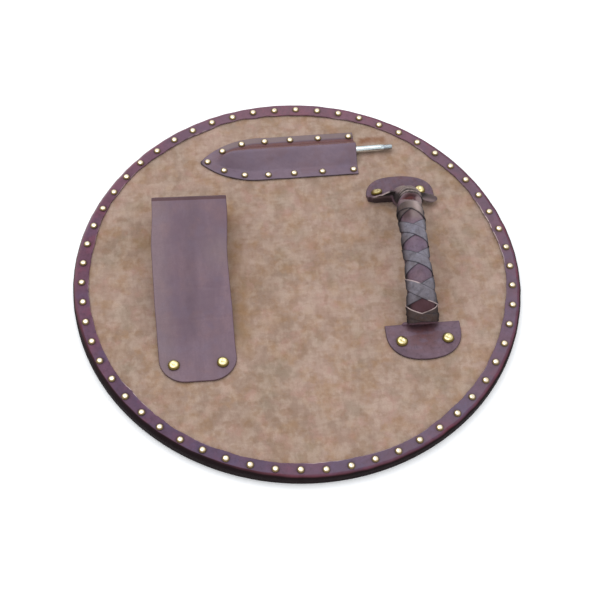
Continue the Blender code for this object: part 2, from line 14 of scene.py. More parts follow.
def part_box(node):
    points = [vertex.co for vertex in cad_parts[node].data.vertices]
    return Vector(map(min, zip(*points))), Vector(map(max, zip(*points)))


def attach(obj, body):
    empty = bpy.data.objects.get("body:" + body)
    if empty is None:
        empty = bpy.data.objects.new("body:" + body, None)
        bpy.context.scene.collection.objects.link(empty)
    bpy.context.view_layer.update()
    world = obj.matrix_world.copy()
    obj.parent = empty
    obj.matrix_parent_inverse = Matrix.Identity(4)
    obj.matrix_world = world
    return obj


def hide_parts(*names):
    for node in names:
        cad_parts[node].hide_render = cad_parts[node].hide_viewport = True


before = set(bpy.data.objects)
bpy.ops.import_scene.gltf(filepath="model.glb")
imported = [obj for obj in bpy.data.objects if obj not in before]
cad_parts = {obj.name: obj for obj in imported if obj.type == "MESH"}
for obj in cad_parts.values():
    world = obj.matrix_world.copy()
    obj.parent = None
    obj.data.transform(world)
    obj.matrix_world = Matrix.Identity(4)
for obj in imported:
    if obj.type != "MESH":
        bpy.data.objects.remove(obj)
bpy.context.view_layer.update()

# Thicknesses and clearances of the leather work
GAP = 0.0003
COVER_THICKNESS = 0.0022
SHEET_EDGE_ROUND = 0.0009
STRAP_THICKNESS = 0.0026
SHEATH_THICKNESS = 0.002
TAB_THICKNESS = 0.0026

# Heads of the tacks and rivets
RIM_TACKS = 58
RIM_TACK_INSET = 0.010
RIM_TACK_TURN = math.radians(-2.26)
TACK_HEAD_RADIUS = 0.00395
TACK_HEAD_HEIGHT = 0.0026
RIVET_HEAD_RADIUS = 0.0064
RIVET_HEAD_HEIGHT = 0.0036
# Where each head's painted dark rim begins, as a share of its radius
TACK_RIM_START = 0.50
RIVET_RIM_START = 0.58

# Band, measured inwards from the edge of the shield
BAND_WIDTH = 0.018
EDGE_ROUND = 0.004
# Top of the painted shade on the band's side wall, and the lower top where the edge faces the light
SIDE_DARK_TOP = 0.0134
LIT_EDGE_DARK_TOP = 0.0118

# Stretches where the band's inner edge lies further out: angle and half length in degrees, and how far
BAND_SWELLS = ((-2, 8, 0.0022), (29, 8, 0.0015), (57, 13, 0.0024), (104, 6, 0.0020), (126, 14, 0.0008),
               (145, 16, 0.0028), (216, 5, -0.0012), (292, 10, 0.0014))

# Stretches where the band's cut edge shows pale: angle and half length in degrees
PALE_EDGES = ((11, 11), (216, 5), (271, 4))

# Stretches of the band that turn bluish: angle and half length in degrees, and how much
CHILLED = ((118, 19, 0.50), (247, 13, 0.80))

# Arm strap, in its own axes
STRAP_WIDTH = 0.0835
STRAP_RISE = 0.050
STRAP_NEAR_TAB = 0.0381
STRAP_FAR_TAB = 0.018
STRAP_FOLD_RUN = 0.009
STRAP_NEAR_CORNER = 0.029
STRAP_FAR_CORNER = 0.012
STRAP_NEAR_RIVET_INSET = 0.0208
STRAP_FAR_RIVET_INSET = 0.0090
STRAP_RADII = (0.110, 0.0046, 0.004)

# Hand grip
GRIP_DIAMETER = 0.0274
GRIP_NEAR_HEIGHT = 0.0075
GRIP_ELBOW_HEIGHT = 0.030
GRIP_CREST_HEIGHT = 0.0505
GRIP_SHOULDER_HEIGHT = 0.0400
GRIP_FAR_HEIGHT = 0.004
GRIP_ELBOW_RUN = 0.030
GRIP_SHOULDER_RUN = 0.030
GRIP_NECK_RUN = 0.0288
GRIP_NECK_ASIDE = 0.0045
GRIP_NECK_ASIDE_LEAD = 0.008
GRIP_NECK_ASIDE_RUN = 0.018
GRIP_RADII = (0.045, 0.050, 0.016)
GRIP_TAB_OVERLAP = 0.004
GRIP_NEAR_WIDTH = 0.0330
GRIP_NEAR_THICKNESS = 0.017
GRIP_FLARE_LENGTH = 0.075
GRIP_SWELL_LENGTH = 0.032
TAB_WIDTH = 0.083
NEAR_TAB_DEPTH = 0.0455
FAR_TAB_DEPTH = 0.0359
TAB_SIDE = 0.010
TAB_ROUNDNESS = 2.3
TAB_LIFT_DEPTH = 0.0105
TAB_CORNER_LIFT = 0.0078
TAB_NECK_LIFT = 0.0135
TAB_CORNER_BACK = 0.0026
NEAR_GRIP_RIVET_INSET = 0.0236
FAR_GRIP_RIVET_INSET = 0.0221
FAR_RIVET_DRAW = 0.0013

# Lace
LACE_WIDTH = 0.0125
LACE_THICKNESS = 0.00096
LACE_CLEARANCE = 0.00005
LACE_TWIST = -0.10
LACE_CROSSINGS = 5
LACE_NEAR_MARGIN = 0.0065
LACE_FAR_MARGIN = 0.0142
LACE_SWING = 0.0018
LACE_END_CROWDING = 0.12
LACE_END_TURN = 0.40

# Neck of the grip, from the start of its shoulder: the hollow and the folds, and the flap beside it
HOLLOW_START = -0.0012
FOLD_START = 0.0076
FOLD_SPACING = 0.0044
FLAP_LENGTH = 0.0245
RIVET_LEAN = 0.60
LEAN_ASIDE = 0.42

# Sheath, measured from its mouth
FLANGE_WIDTH = 0.0135
POCKET_HALF_WIDTH = 0.018
SHEATH_RIDGE = 0.0145
RIDGE_OFFSET = 0.0025
NOSE_LENGTH = 0.069
NOSE_FLAT = 0.002
NOSE_FULL_SHARE = 0.8
NOSE_TIP_CUT = 0.0012
FOLD_ROUNDING = 0.12

# Spike
BLADE_LENGTH = 0.150
BLADE_WIDTH = 0.020
BLADE_THICKNESS = 0.008
BLADE_SHOULDER = 0.006
MOUTH_MARGIN = 0.010
SHANK_DIAMETER = 0.0078
SCREW_DIAMETER = 0.0065
SCREW_LENGTH = 0.0100
THREAD_PITCH = 0.00100
THREAD_DEPTH = 0.00022

# Camera, in the look-at frame of a point on the tacks' level
CAMERA_TARGET_HEIGHT = 0.016
CAMERA_DISTANCE = 1.46625
CAMERA_ELEVATION = math.radians(56.173)
CAMERA_AZIMUTH = math.radians(-8.6)
CAMERA_YAW = -0.00256
CAMERA_PITCH = -0.02003
CAMERA_ROLL = -0.05344
CAMERA_LENS = 78.746
SENSOR_WIDTH = 36.0

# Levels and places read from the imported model
SHIELD_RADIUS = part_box("leather_cover")[1].x
BAND_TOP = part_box("leather_cover")[1].z - TACK_HEAD_HEIGHT
BAND_BOTTOM = BAND_TOP - COVER_THICKNESS
LINING_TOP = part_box("suede_lining")[1].z
LINING_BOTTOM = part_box("suede_lining")[0].z
LINING_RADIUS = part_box("suede_lining")[1].x
BOARD_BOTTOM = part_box("wooden_board")[0].z
BACK = LINING_TOP + GAP
BACK_RADIUS = SHIELD_RADIUS - BAND_WIDTH


def node_centre(name):
    """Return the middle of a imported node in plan."""
    low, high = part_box(name)
    return Vector(((low.x + high.x) / 2, (low.y + high.y) / 2))


def smooth(share):
    """Ease from 0 to 1."""
    share = np.clip(share, 0.0, 1.0)
    return share * share * (3 - 2 * share)


def hump(distance, reach):
    """Return a soft hump, 1 at distance 0."""
    return np.exp(-(distance / reach) ** 2)


def ripple(x, y, size, seed, waves=9):
    """Return smooth uneven relief of about -1 to 1, whose swells are about one size apart."""
    draw = np.random.default_rng(seed)
    total = 0.0
    for _ in range(waves):
        turn, phase = draw.uniform(0, math.tau, 2)
        length = size * draw.uniform(0.7, 1.5)
        run = x * math.cos(turn) + y * math.sin(turn)
        total = total + np.sin(run * math.tau / length + phase)
    return total / math.sqrt(waves) / 1.3


class Line:
    """A run of 2-D points along straight stretches with rounded corners, read by distance."""

    def __init__(self, corners, radii, arc_steps=16):
        points = [Vector(corners[0])]
        for before, corner, after, radius in zip(corners, corners[1:], corners[2:], radii):
            corner = Vector(corner)
            back = (Vector(before) - corner).normalized()
            ahead = (Vector(after) - corner).normalized()
            half_turn = (math.pi - back.angle(ahead)) / 2
            reach = radius * math.tan(half_turn)
            centre = corner + (back + ahead).normalized() * (radius / math.cos(half_turn))
            start = corner + back * reach - centre
            end = corner + ahead * reach - centre
            for k in range(arc_steps + 1):
                share = k / arc_steps
                weight_start = math.sin((1 - share) * 2 * half_turn)
                weight_end = math.sin(share * 2 * half_turn)
                arc = (start * weight_start + end * weight_end) / math.sin(2 * half_turn)
                points.append(centre + arc)
        points.append(Vector(corners[-1]))
        self.points = np.array([tuple(point) for point in points])
        steps = np.linalg.norm(np.diff(self.points, axis=0), axis=1)
        self.marks = np.concatenate([[0.0], np.cumsum(steps)])
        self.length = self.marks[-1]

    def at(self, distance):
        """Return the points at some distances."""
        along = np.interp(distance, self.marks, self.points[:, 0])
        up = np.interp(distance, self.marks, self.points[:, 1])
        return along, up

    def normal(self, distance, step):
        """Return the upward normals at some distances, smoothed over a step each way."""
        low = self.at(np.clip(distance - step, 0.0, self.length))
        high = self.at(np.clip(distance + step, 0.0, self.length))
        run, rise = high[0] - low[0], high[1] - low[1]
        size = np.hypot(run, rise)
        return -rise / size, run / size


def grid_quads(rows, columns, first=0, ring=False):
    """Return the quads of a grid of points; a ring's last column joins its first."""
    i, j = np.meshgrid(np.arange(rows - 1), np.arange(columns if ring else columns - 1), indexing="ij")
    after = (j + 1) % columns
    quads = [i * columns + j, i * columns + after, (i + 1) * columns + after, (i + 1) * columns + j]
    return (np.stack(quads, -1).reshape(-1, 4) + first).tolist()


def grid_rim(rows, columns):
    """Return the indexes round the rim of a grid, in order."""
    near = [k for k in range(columns)]
    right = [(i + 1) * columns - 1 for i in range(1, rows)]
    far = [(rows - 1) * columns + k for k in range(columns - 2, -1, -1)]
    left = [i * columns for i in range(rows - 2, 0, -1)]
    return near + right + far + left


def add_mesh(name, points, faces, attributes=None):
    """Make a mesh object with outward faces, smooth shading and named values at its points."""
    mesh = bpy.data.meshes.new(name)
    mesh.from_pydata(np.asarray(points, float).reshape(-1, 3).tolist(), [], faces)
    shape = bmesh.new()
    shape.from_mesh(mesh)
    bmesh.ops.recalc_face_normals(shape, faces=shape.faces)
    shape.to_mesh(mesh)
    shape.free()
    for key, values in (attributes or {}).items():
        layer = mesh.attributes.new(key, "FLOAT", "POINT")
        layer.data.foreach_set("value", np.asarray(values, np.float32).ravel())
    mesh.shade_smooth()
    made = bpy.data.objects.new(name, mesh)
    bpy.context.scene.collection.objects.link(made)
    return made


def dress(piece, material, slot, *nodes):
    """Give a piece its material, let it ride with the shield and stand for its nodes."""
    piece.data.materials.clear()
    piece.data.materials.append(material)
    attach(piece, "root")
    if nodes:
        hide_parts(*nodes)
    return piece


def edge_distance(flat):
    """Return each grid point's distance to the grid's outline, in the flat sheet."""
    rows, columns = flat.shape[:2]
    outline = flat.reshape(-1, 2)[grid_rim(rows, columns)]
    start, step = outline, np.roll(outline, -1, 0) - outline
    squared = np.maximum((step ** 2).sum(-1), 1e-18)
    distance = np.empty((rows, columns))
    for i in range(rows):
        away = flat[i][:, None, :] - start[None]
        share = np.clip((away * step).sum(-1) / squared, 0.0, 1.0)
        distance[i] = np.linalg.norm(away - share[..., None] * step, axis=-1).min(1)
    return distance


def edge_steps(length, count, fine=(0.0, 0.00012, 0.0004, 0.0009, 0.0016, 0.0026)):
    """Return places along a length, close together at both ends and even between them."""
    scale = min(1.0, length / (4 * fine[-1]))
    start = np.array(fine) * scale
    middle = np.linspace(start[-1], length - start[-1], max(count - 2 * len(fine) + 2, 2))[1:-1]
    return np.concatenate([start, middle, (length - start)[::-1]])


def sheet_surface(flat, thickness, place, relief=None):
    """Return the points, faces and edge values of a sheet with rounded edges.

    place gives the middle surface's points and its upward normals for the flat sheet's own
    coordinates, and relief is added to the top side alone.
    """
    rows, columns = flat.shape[:2]
    distance = edge_distance(flat)
    fall = 1 - np.clip(distance / SHEET_EDGE_ROUND, 0.0, 1.0)
    half = thickness / 2 * np.maximum(np.sqrt(1 - fall ** 2), 0.12)
    middle, normal = place(flat[..., 0], flat[..., 1])
    lift = half if relief is None else half + relief * smooth(distance / 0.002)
    top = middle + normal * lift[..., None]
    bottom = middle - normal * half[..., None]
    count = rows * columns
    rim = grid_rim(rows, columns)
    faces = grid_quads(rows, columns) + grid_quads(rows, columns, count)
    for a, b in zip(rim, rim[1:] + rim[:1]):
        faces.append((a, b, b + count, a + count))
    edge = np.concatenate([distance.ravel(), distance.ravel()])
    return np.concatenate([top.reshape(-1, 3), bottom.reshape(-1, 3)]), faces, edge


class Shader:
    """One material's node tree, with short calls that add nodes and return their outputs."""

    def __init__(self, name):
        self.material = bpy.data.materials.new(name)
        self.material.use_nodes = True
        self.tree = self.material.node_tree
        self.surface = self.tree.nodes["Principled BSDF"]
        self.place = self.tree.nodes.new("ShaderNodeTexCoord").outputs["Object"]

    def feed(self, socket, value):
        """Join an output to a socket, or set the socket's own value."""
        if isinstance(value, bpy.types.NodeSocket):
            self.tree.links.new(value, socket)
        else:
            socket.default_value = value

    def add(self, kind, inputs, **settings):
        """Add a node with its settings and inputs."""
        node = self.tree.nodes.new("ShaderNode" + kind)
        for key, value in settings.items():
            setattr(node, key, value)
        for key, value in inputs.items():
            self.feed(node.inputs[key], value)
        return node

    def noise(self, size, detail=3.0, roughness=0.55, stretch=None, shift=0.0):
        """Return noise of 0 to 1 whose features are about a size in metres across."""
        vector = self.place
        if stretch:
            vector = self.add("VectorMath", {0: vector, 1: stretch}, operation="MULTIPLY").outputs[0]
        if shift:
            vector = self.add("VectorMath", {0: vector, 1: (shift, shift, shift)}).outputs[0]
        inputs = {"Vector": vector, "Scale": 1 / size, "Detail": detail, "Roughness": roughness}
        return self.add("TexNoise", inputs).outputs["Fac"]

    def cells(self, size, feature="F1"):
        """Return a cell pattern whose cells are about a size across."""
        inputs = {"Vector": self.place, "Scale": 1 / size}
        return self.add("TexVoronoi", inputs, feature=feature).outputs["Distance"]

    def named(self, name):
        """Return a value that the mesh holds at its points."""
        return self.add("Attribute", {}, attribute_name=name).outputs["Fac"]

    def window(self, value, low, high, start=0.0, end=1.0):
        """Map low to high onto start to end, clamped and eased."""
        inputs = {"Value": value, "From Min": low, "From Max": high, "To Min": start, "To Max": end}
        return self.add("MapRange", inputs, interpolation_type="SMOOTHSTEP").outputs["Result"]

    def sum(self, a, b):
        """Add two values."""
        return self.add("Math", {0: a, 1: b}, operation="ADD").outputs[0]

    def times(self, a, b):
        """Multiply two values."""
        return self.add("Math", {0: a, 1: b}, operation="MULTIPLY").outputs[0]

    def blend(self, share, a, b, kind="MIX"):
        """Mix two colours."""
        inputs = {0: share, 6: a, 7: b}
        return self.add("Mix", inputs, data_type="RGBA", blend_type=kind).outputs[2]

    def bump(self, height, distance, strength=1.0, normal=None):
        """Return a normal bent by a height of 0 to 1 times a distance in metres."""
        inputs = {"Height": height, "Distance": distance, "Strength": strength}
        if normal:
            inputs["Normal"] = normal
        return self.add("Bump", inputs).outputs["Normal"]

    def finish(self, **inputs):
        """Set the surface's inputs, named with underscores for spaces, and return the material."""
        for key, value in inputs.items():
            self.feed(self.surface.inputs[key.replace("_", " ")], value)
        return self.material


def colour(red, green, blue):
    """Return a colour given as screen values of 0 to 255."""
    shares = [value / 255 for value in (red, green, blue)]
    linear = [s / 12.92 if s <= 0.04045 else ((s + 0.055) / 1.055) ** 2.4 for s in shares]
    return (*linear, 1.0)


def leather_material(name, tone, shade, warm, cool, edge, gloss=0.46, stretch=None, patches=0.30, shine=0.34,
                     spots=0.30):
    """Make dyed leather: cloudy colour, warm and cool patches, worn places, dark cut edges and a fine grain, with
    painted shade, highlights and sheen laid in through named values.
    """
    shader = Shader(name)
    clouds = shader.window(shader.noise(0.030, 4.0, 0.6, stretch), 0.34, 0.66)
    base = shader.blend(clouds, shade, tone)
    warmth = shader.window(shader.noise(0.021, 3.0, shift=0.7), 0.50, 0.66, 0.0, patches)
    base = shader.blend(warmth, base, warm)
    coolness = shader.window(shader.noise(0.024, 3.0, shift=1.9), 0.50, 0.66, 0.0, patches)
    base = shader.blend(coolness, base, cool)
    base = shader.blend(shader.named("warm_tint"), base, warm)
    base = shader.blend(shader.named("cool"), base, cool)
    streaks = shader.noise(0.0060, 3.0, 0.6, stretch)
    base = shader.blend(shader.window(streaks, 0.38, 0.66, 0.0, 0.30), base, shade)
    mottle = shader.noise(0.0052, 3.0, 0.65, shift=4.2)
    base = shader.blend(shader.window(mottle, 0.48, 0.68, 0.0, spots), base, edge)
    fibres = shader.noise(0.0018, 2.0, 0.65)
    base = shader.blend(shader.window(fibres, 0.35, 0.68, 0.0, 0.34), base, shade)
    # The grey value also lays painted sheen on the grip and the lace, and the dark red value also reddens painted
    # shade.
    base = shader.blend(shader.named("grey"), base, colour(126, 110, 104))
    base = shader.blend(shader.named("dark_red"), base, colour(92, 26, 22))
    base = shader.blend(shader.window(shader.named("edge"), 0.25, 1.0, 0.0, 0.8), base, edge)
    # Painted shade and highlights: dark lays shade in creases and hollows, on sides turned away and under raised
    # parts, and pale lays highlights as well as pale cut edges.
    base = shader.blend(shader.named("dark"), base, colour(16, 6, 8))
    base = shader.blend(shader.named("pale"), base, colour(190, 168, 164))
    creases = shader.window(shader.cells(0.0011, "DISTANCE_TO_EDGE"), 0.0, 0.12)
    normal = shader.bump(creases, 0.00016, 0.35)
    normal = shader.bump(shader.noise(0.007, 3.0, shift=0.3), 0.0011, 0.30, normal)
    roughness = shader.sum(shader.times(shader.noise(0.012, 3.0), 0.22), gloss - 0.11)
    roughness = shader.sum(roughness, shader.times(shader.named("dark"), 0.35))
    return shader.finish(Base_Color=base, Roughness=roughness, Normal=normal, Specular_IOR_Level=shine)


def suede_material():
    """Make the tan suede: mottled at several sizes, brushed and stained, with a soft nap."""
    shader = Shader("tan suede")
    clouds = shader.window(shader.noise(0.070, 3.0), 0.36, 0.64)
    base = shader.blend(clouds, colour(146, 122, 106), colour(168, 141, 127))
    ochre = shader.window(shader.noise(0.022, 4.0, 0.62, shift=0.4), 0.46, 0.64, 0.0, 0.60)
    base = shader.blend(ochre, base, colour(156, 122, 90))
    pink = shader.window(shader.noise(0.019, 4.0, 0.6, shift=2.3), 0.50, 0.66, 0.0, 0.50)
    base = shader.blend(pink, base, colour(172, 134, 122))
    green = shader.window(shader.noise(0.034, 3.0, shift=1.3), 0.50, 0.68, 0.0, 0.45)
    base = shader.blend(green, base, colour(140, 127, 108))
    brushed = shader.window(shader.noise(0.0130, 3.0, 0.55, stretch=(1.0, 0.8, 1.0)), 0.40, 0.62)
    base = shader.blend(shader.times(brushed, 0.50), base, colour(184, 161, 145))
    blots = shader.window(shader.noise(0.0115, 3.0, 0.55, shift=3.1), 0.52, 0.66, 0.0, 0.42)
    base = shader.blend(blots, base, colour(138, 108, 84))
    for stretch, shift in (((1.0, 0.3, 1.0), 5.3), ((0.3, 1.0, 1.0), 6.1)):
        threads = shader.window(shader.noise(0.0042, 2.0, 0.5, stretch, shift), 0.46, 0.66, 0.0, 0.17)
        base = shader.blend(threads, base, colour(126, 100, 82))
    nap = shader.noise(0.0012, 3.0, 0.7)
    base = shader.blend(shader.window(nap, 0.3, 0.7, 0.18, 0.0), base, colour(116, 90, 72))
    base = shader.blend(shader.named("stain"), base, colour(122, 76, 46))
    # Ochre patches, and painted shadow along the strap's right side.
    base = shader.blend(shader.named("ochre"), base, colour(140, 104, 66))
    # Painted shadow beside the raised strap and the grip.
    base = shader.blend(shader.named("dark"), base, colour(70, 48, 36))
    normal = shader.bump(nap, 0.0004, 0.55)
    normal = shader.bump(shader.noise(0.0045, 3.0, 0.6, shift=0.9), 0.0012, 0.35, normal)
    return shader.finish(
        Base_Color=base, Roughness=0.95, Normal=normal, Specular_IOR_Level=0.15,
        Sheen_Weight=0.25, Sheen_Roughness=0.55)


def brass_material(name, tone, rim_shade_colour):
    """Make polished brass whose rim is darkened to an olive tone as a painted reflection and contact shade, and whose
    top carries faint dents.
    """
    shader = Shader(name)
    clouds = shader.window(shader.noise(0.0035, 3.0), 0.40, 0.72, 0.0, 0.30)
    base = shader.blend(clouds, tone, colour(206, 172, 104))
    # Painted reflection and shade: the rim darkens toward the olive colour, standing in for the dark leather it
    # reflects and the shade where it meets the leather.
    rim = shader.window(shader.named("edge"), 0.0, 1.0)
    base = shader.blend(rim, base, rim_shade_colour)
    roughness = shader.sum(shader.times(rim, 0.30), shader.window(shader.noise(0.002, 2.0), 0.3, 0.7, 0.22, 0.36))
    normal = shader.bump(shader.noise(0.0026, 2.0, shift=0.5), 0.0004, 0.22)
    return shader.finish(Base_Color=base, Metallic=1.0, Roughness=roughness, Normal=normal)


def steel_material():
    """Make bright plated steel with faint turning marks."""
    shader = Shader("bright steel")
    marks = shader.noise(0.0040, 2.0, stretch=(0.12, 1.0, 1.0))
    base = shader.blend(shader.window(marks, 0.3, 0.7), colour(210, 220, 220), colour(226, 233, 232))
    base = shader.blend(shader.named("dark"), base, colour(92, 100, 120))
    roughness = shader.window(marks, 0.25, 0.75, 0.20, 0.26)
    normal = shader.bump(shader.noise(0.0008, 2.0, stretch=(1.0, 0.1, 0.1)), 0.00001, 0.1)
    return shader.finish(Base_Color=base, Metallic=1.0, Roughness=roughness, Normal=normal)


def wood_material():
    """Make plain sawn wood for the board, with its grain along Y."""
    shader = Shader("board wood")
    rings = shader.noise(0.012, 4.0, stretch=(1.0, 0.06, 1.0))
    base = shader.blend(shader.window(rings, 0.35, 0.65), colour(176, 138, 94), colour(203, 170, 124))
    pores = shader.noise(0.0016, 2.0, stretch=(1.0, 0.05, 1.0))
    base = shader.blend(shader.window(pores, 0.55, 0.75, 0.0, 0.4), base, colour(120, 88, 56))
    return shader.finish(Base_Color=base, Roughness=0.7, Normal=shader.bump(pores, 0.0003, 0.4))


def rim_tack_phase(theta):
    """Return the angle from the nearest tack of the band, signed."""
    pitch = math.tau / RIM_TACKS
    return (theta - RIM_TACK_TURN + pitch / 2) % pitch - pitch / 2


def turn_from(theta, degrees):
    """Return the signed turn from a direction given in degrees."""
    return (theta - math.radians(degrees) + math.pi) % math.tau - math.pi


def make_cover(material):
    """Make the cover: a front face with two pressed rings, a wrapped edge and a band pulled by its tacks."""
    segments = RIM_TACKS * 18
    theta = np.arange(segments) * math.tau / segments
    front = [(0.06, 0.0), (0.12, 0.0), (0.17, 0.0)]
    for ring in (0.198, 0.229):
        for k in range(9):
            offset = (k / 4 - 1) * 0.0024
            front.append((ring + offset, 0.0006 * math.cos(math.pi / 2 * (k / 4 - 1)) ** 2))
    outer = []
    for centre_z, first_turn in ((EDGE_ROUND, -math.pi / 2), (BAND_TOP - EDGE_ROUND, 0.0)):
        for k in range(9):
            angle = first_turn + math.pi / 16 * k
            outer.append((SHIELD_RADIUS - EDGE_ROUND + EDGE_ROUND * math.cos(angle),
                          centre_z + EDGE_ROUND * math.sin(angle)))
    band_start = SHIELD_RADIUS - EDGE_ROUND
    inner_wall = SHIELD_RADIUS - COVER_THICKNESS
    top = [(r, BAND_TOP) for r in np.linspace(band_start, BACK_RADIUS + 0.0011, 13)[1:]]
    half = COVER_THICKNESS / 2
    lip = [(BACK_RADIUS + half * (1 - math.sin(a)), BAND_BOTTOM + half * (1 + math.cos(a)))
           for a in np.linspace(0.25, math.pi - 0.25, 6)]
    under = [(r, BAND_BOTTOM) for r in np.linspace(BACK_RADIUS + 0.0011, inner_wall, 5)]
    inside = [(inner_wall, COVER_THICKNESS), (0.06, COVER_THICKNESS)]
    profile = np.array(front + outer + top + lip + under + inside)
    kind = np.array([0] * len(front) + [1] * len(outer) + [2] * len(top) + [2] * len(lip)
                    + [3] * len(under) + [4] * len(inside))[:, None]
    radius = np.repeat(profile[:, :1], segments, 1)
    height = np.repeat(profile[:, 1:], segments, 1)
    across = np.cos(theta) * SHIELD_RADIUS
    along = np.sin(theta) * SHIELD_RADIUS
    inward = np.clip((band_start - radius) / (band_start - BACK_RADIUS), 0.0, 1.0)
    on_band = (kind == 2) | ((kind == 3) & (radius < band_start))
    phase = rim_tack_phase(theta)
    half_pitch = math.pi / RIM_TACKS
    between = 0.5 - 0.5 * np.cos(math.pi * phase / half_pitch)

    wave = 0.00035 * ripple(across, along, 0.030, 4) + 0.0004 * between + 0.0002 * ripple(across, along, 0.006, 5)
    for middle, reach, depth in BAND_SWELLS:
        turn = turn_from(theta, middle)
        wave = wave + depth * np.exp(-(np.abs(turn) / math.radians(reach)) ** 4)
    radius = radius + np.where(on_band, inward * wave, 0.0)

    tack_away = np.hypot(radius - (SHIELD_RADIUS - RIM_TACK_INSET), phase * (SHIELD_RADIUS - RIM_TACK_INSET))
    swell = 0.00022 * ripple(across, along, 0.019, 6) + 0.00030 * between
    loose = 0.0011 * smooth((theta - math.radians(2)) / 0.12) * smooth((math.radians(25) - theta) / 0.12)
    loose = loose + 0.0006 * np.clip(ripple(across, along, 0.09, 8), 0, 1)
    pressed = -0.00055 * hump(tack_away, 0.0052)
    lifted = swell * (1 - inward * 0.3) + loose * inward ** 3
    height = height + np.where(kind == 2, lifted + pressed, 0.0)
    height = height + np.where((kind == 3) & (radius < band_start), np.maximum(lifted, 0.0) * inward, 0.0)
    upper = smooth((height - EDGE_ROUND) / (BAND_TOP - EDGE_ROUND))
    side_swell = 0.00028 * (ripple(across, along, 0.02, 7) - 0.9) * upper
    side_swell = side_swell - 0.0014 * hump(turn_from(theta, 143), math.radians(21)) * upper
    radius = radius + np.where((kind == 1) | (kind == 2), np.minimum(side_swell, 0.0) * (1 - inward), 0.0)

    points = np.stack([radius * np.cos(theta), radius * np.sin(theta), height], -1)
    rings = len(profile)
    faces = grid_quads(rings, segments, 0, True)
    poles = np.array([[0.0, 0.0, 0.0], [0.0, 0.0, COVER_THICKNESS]])
    for pole, first in ((rings * segments, 0), (rings * segments + 1, (rings - 1) * segments)):
        for k in range(segments):
            faces.append((pole, first + k, first + (k + 1) % segments))
    edge = np.where(kind == 2, 1 - np.clip((radius - BACK_RADIUS - wave * inward) / 0.0016, 0, 1), 0.0)
    lit = hump(turn_from(theta, 128), math.radians(46))
    lip_pale = np.zeros_like(radius)
    first_lip = len(front) + len(outer) + len(top)
    cut = 0.12 + 0.25 * ripple(across, along, 0.05, 9)
    for middle, reach in PALE_EDGES:
        turn = turn_from(theta, middle)
        cut = cut + 0.8 * np.exp(-(np.abs(turn) / math.radians(reach)) ** 4)
    lip_pale[first_lip:first_lip + 3] = np.clip(cut * smooth(0.9 + ripple(across, along, 0.010, 11)), 0, 0.9)
    # Painted highlight: a pale line along the rounded outer edge on its lit side.
    lip_pale = lip_pale + 0.30 * lit * np.where(kind == 1, hump(height - BAND_TOP + 0.0009, 0.0007), 0.0)
    lip_pale = np.maximum(lip_pale, 0.10 * smooth((1 + np.cos(turn_from(theta, 18))) / 1.2) * on_band)
    # Painted shade: the side wall darkens nearly to black below a line, which sits lower where the edge is lit.
    dark_top = SIDE_DARK_TOP + (LIT_EDGE_DARK_TOP - SIDE_DARK_TOP) * lit
    dark_top = dark_top + 0.0012 * hump(turn_from(theta, 222) ** 2, math.radians(36) ** 2)
    dark = np.where(kind == 1, 0.97 * (1 - smooth((height - dark_top) / 0.0014)), 0.0)
    # Painted contact shadow: a dark ring on the band round each tack head.
    dark = dark + np.where(kind == 2, 0.32 * hump(np.maximum(tack_away - TACK_HEAD_RADIUS, 0), 0.0010), 0.0)
    warmth = smooth(ripple(across, along, 0.16, 12) - 0.1) * 0.8
    warmth = warmth + 0.9 * hump(turn_from(theta, 112), math.radians(82))
    patchy = 0.5 + 0.5 * smooth(0.5 + 1.2 * ripple(across, along, 0.045, 13))
    chill = hump(turn_from(theta, 298), math.radians(86)) * patchy
    for middle, reach, share in CHILLED:
        chill = np.maximum(chill, share * hump(turn_from(theta, middle), math.radians(reach)))
    warm_tint = np.where((kind == 1) | (kind == 2), np.clip(warmth, 0, 1) * (1 - 0.6 * chill), 0.0)
    dark_red = np.where(kind == 1, 0.55 * (1 - smooth((height - dark_top - 0.0006) / 0.0012)), 0.0)
    attributes = {"edge": edge * 0.15, "pale": lip_pale, "dark": dark, "warm_tint": warm_tint * 0.6, "dark_red": dark_red,
                  "cool": 0.75 * chill * on_band}
    for key, values in attributes.items():
        attributes[key] = np.concatenate([values.ravel(), [0.0, 0.0]])
    cover = add_mesh("leather_band_and_face", np.concatenate([points.reshape(-1, 3), poles]), faces, attributes)
    return dress(cover, material, "dyed_leather", "leather_cover")


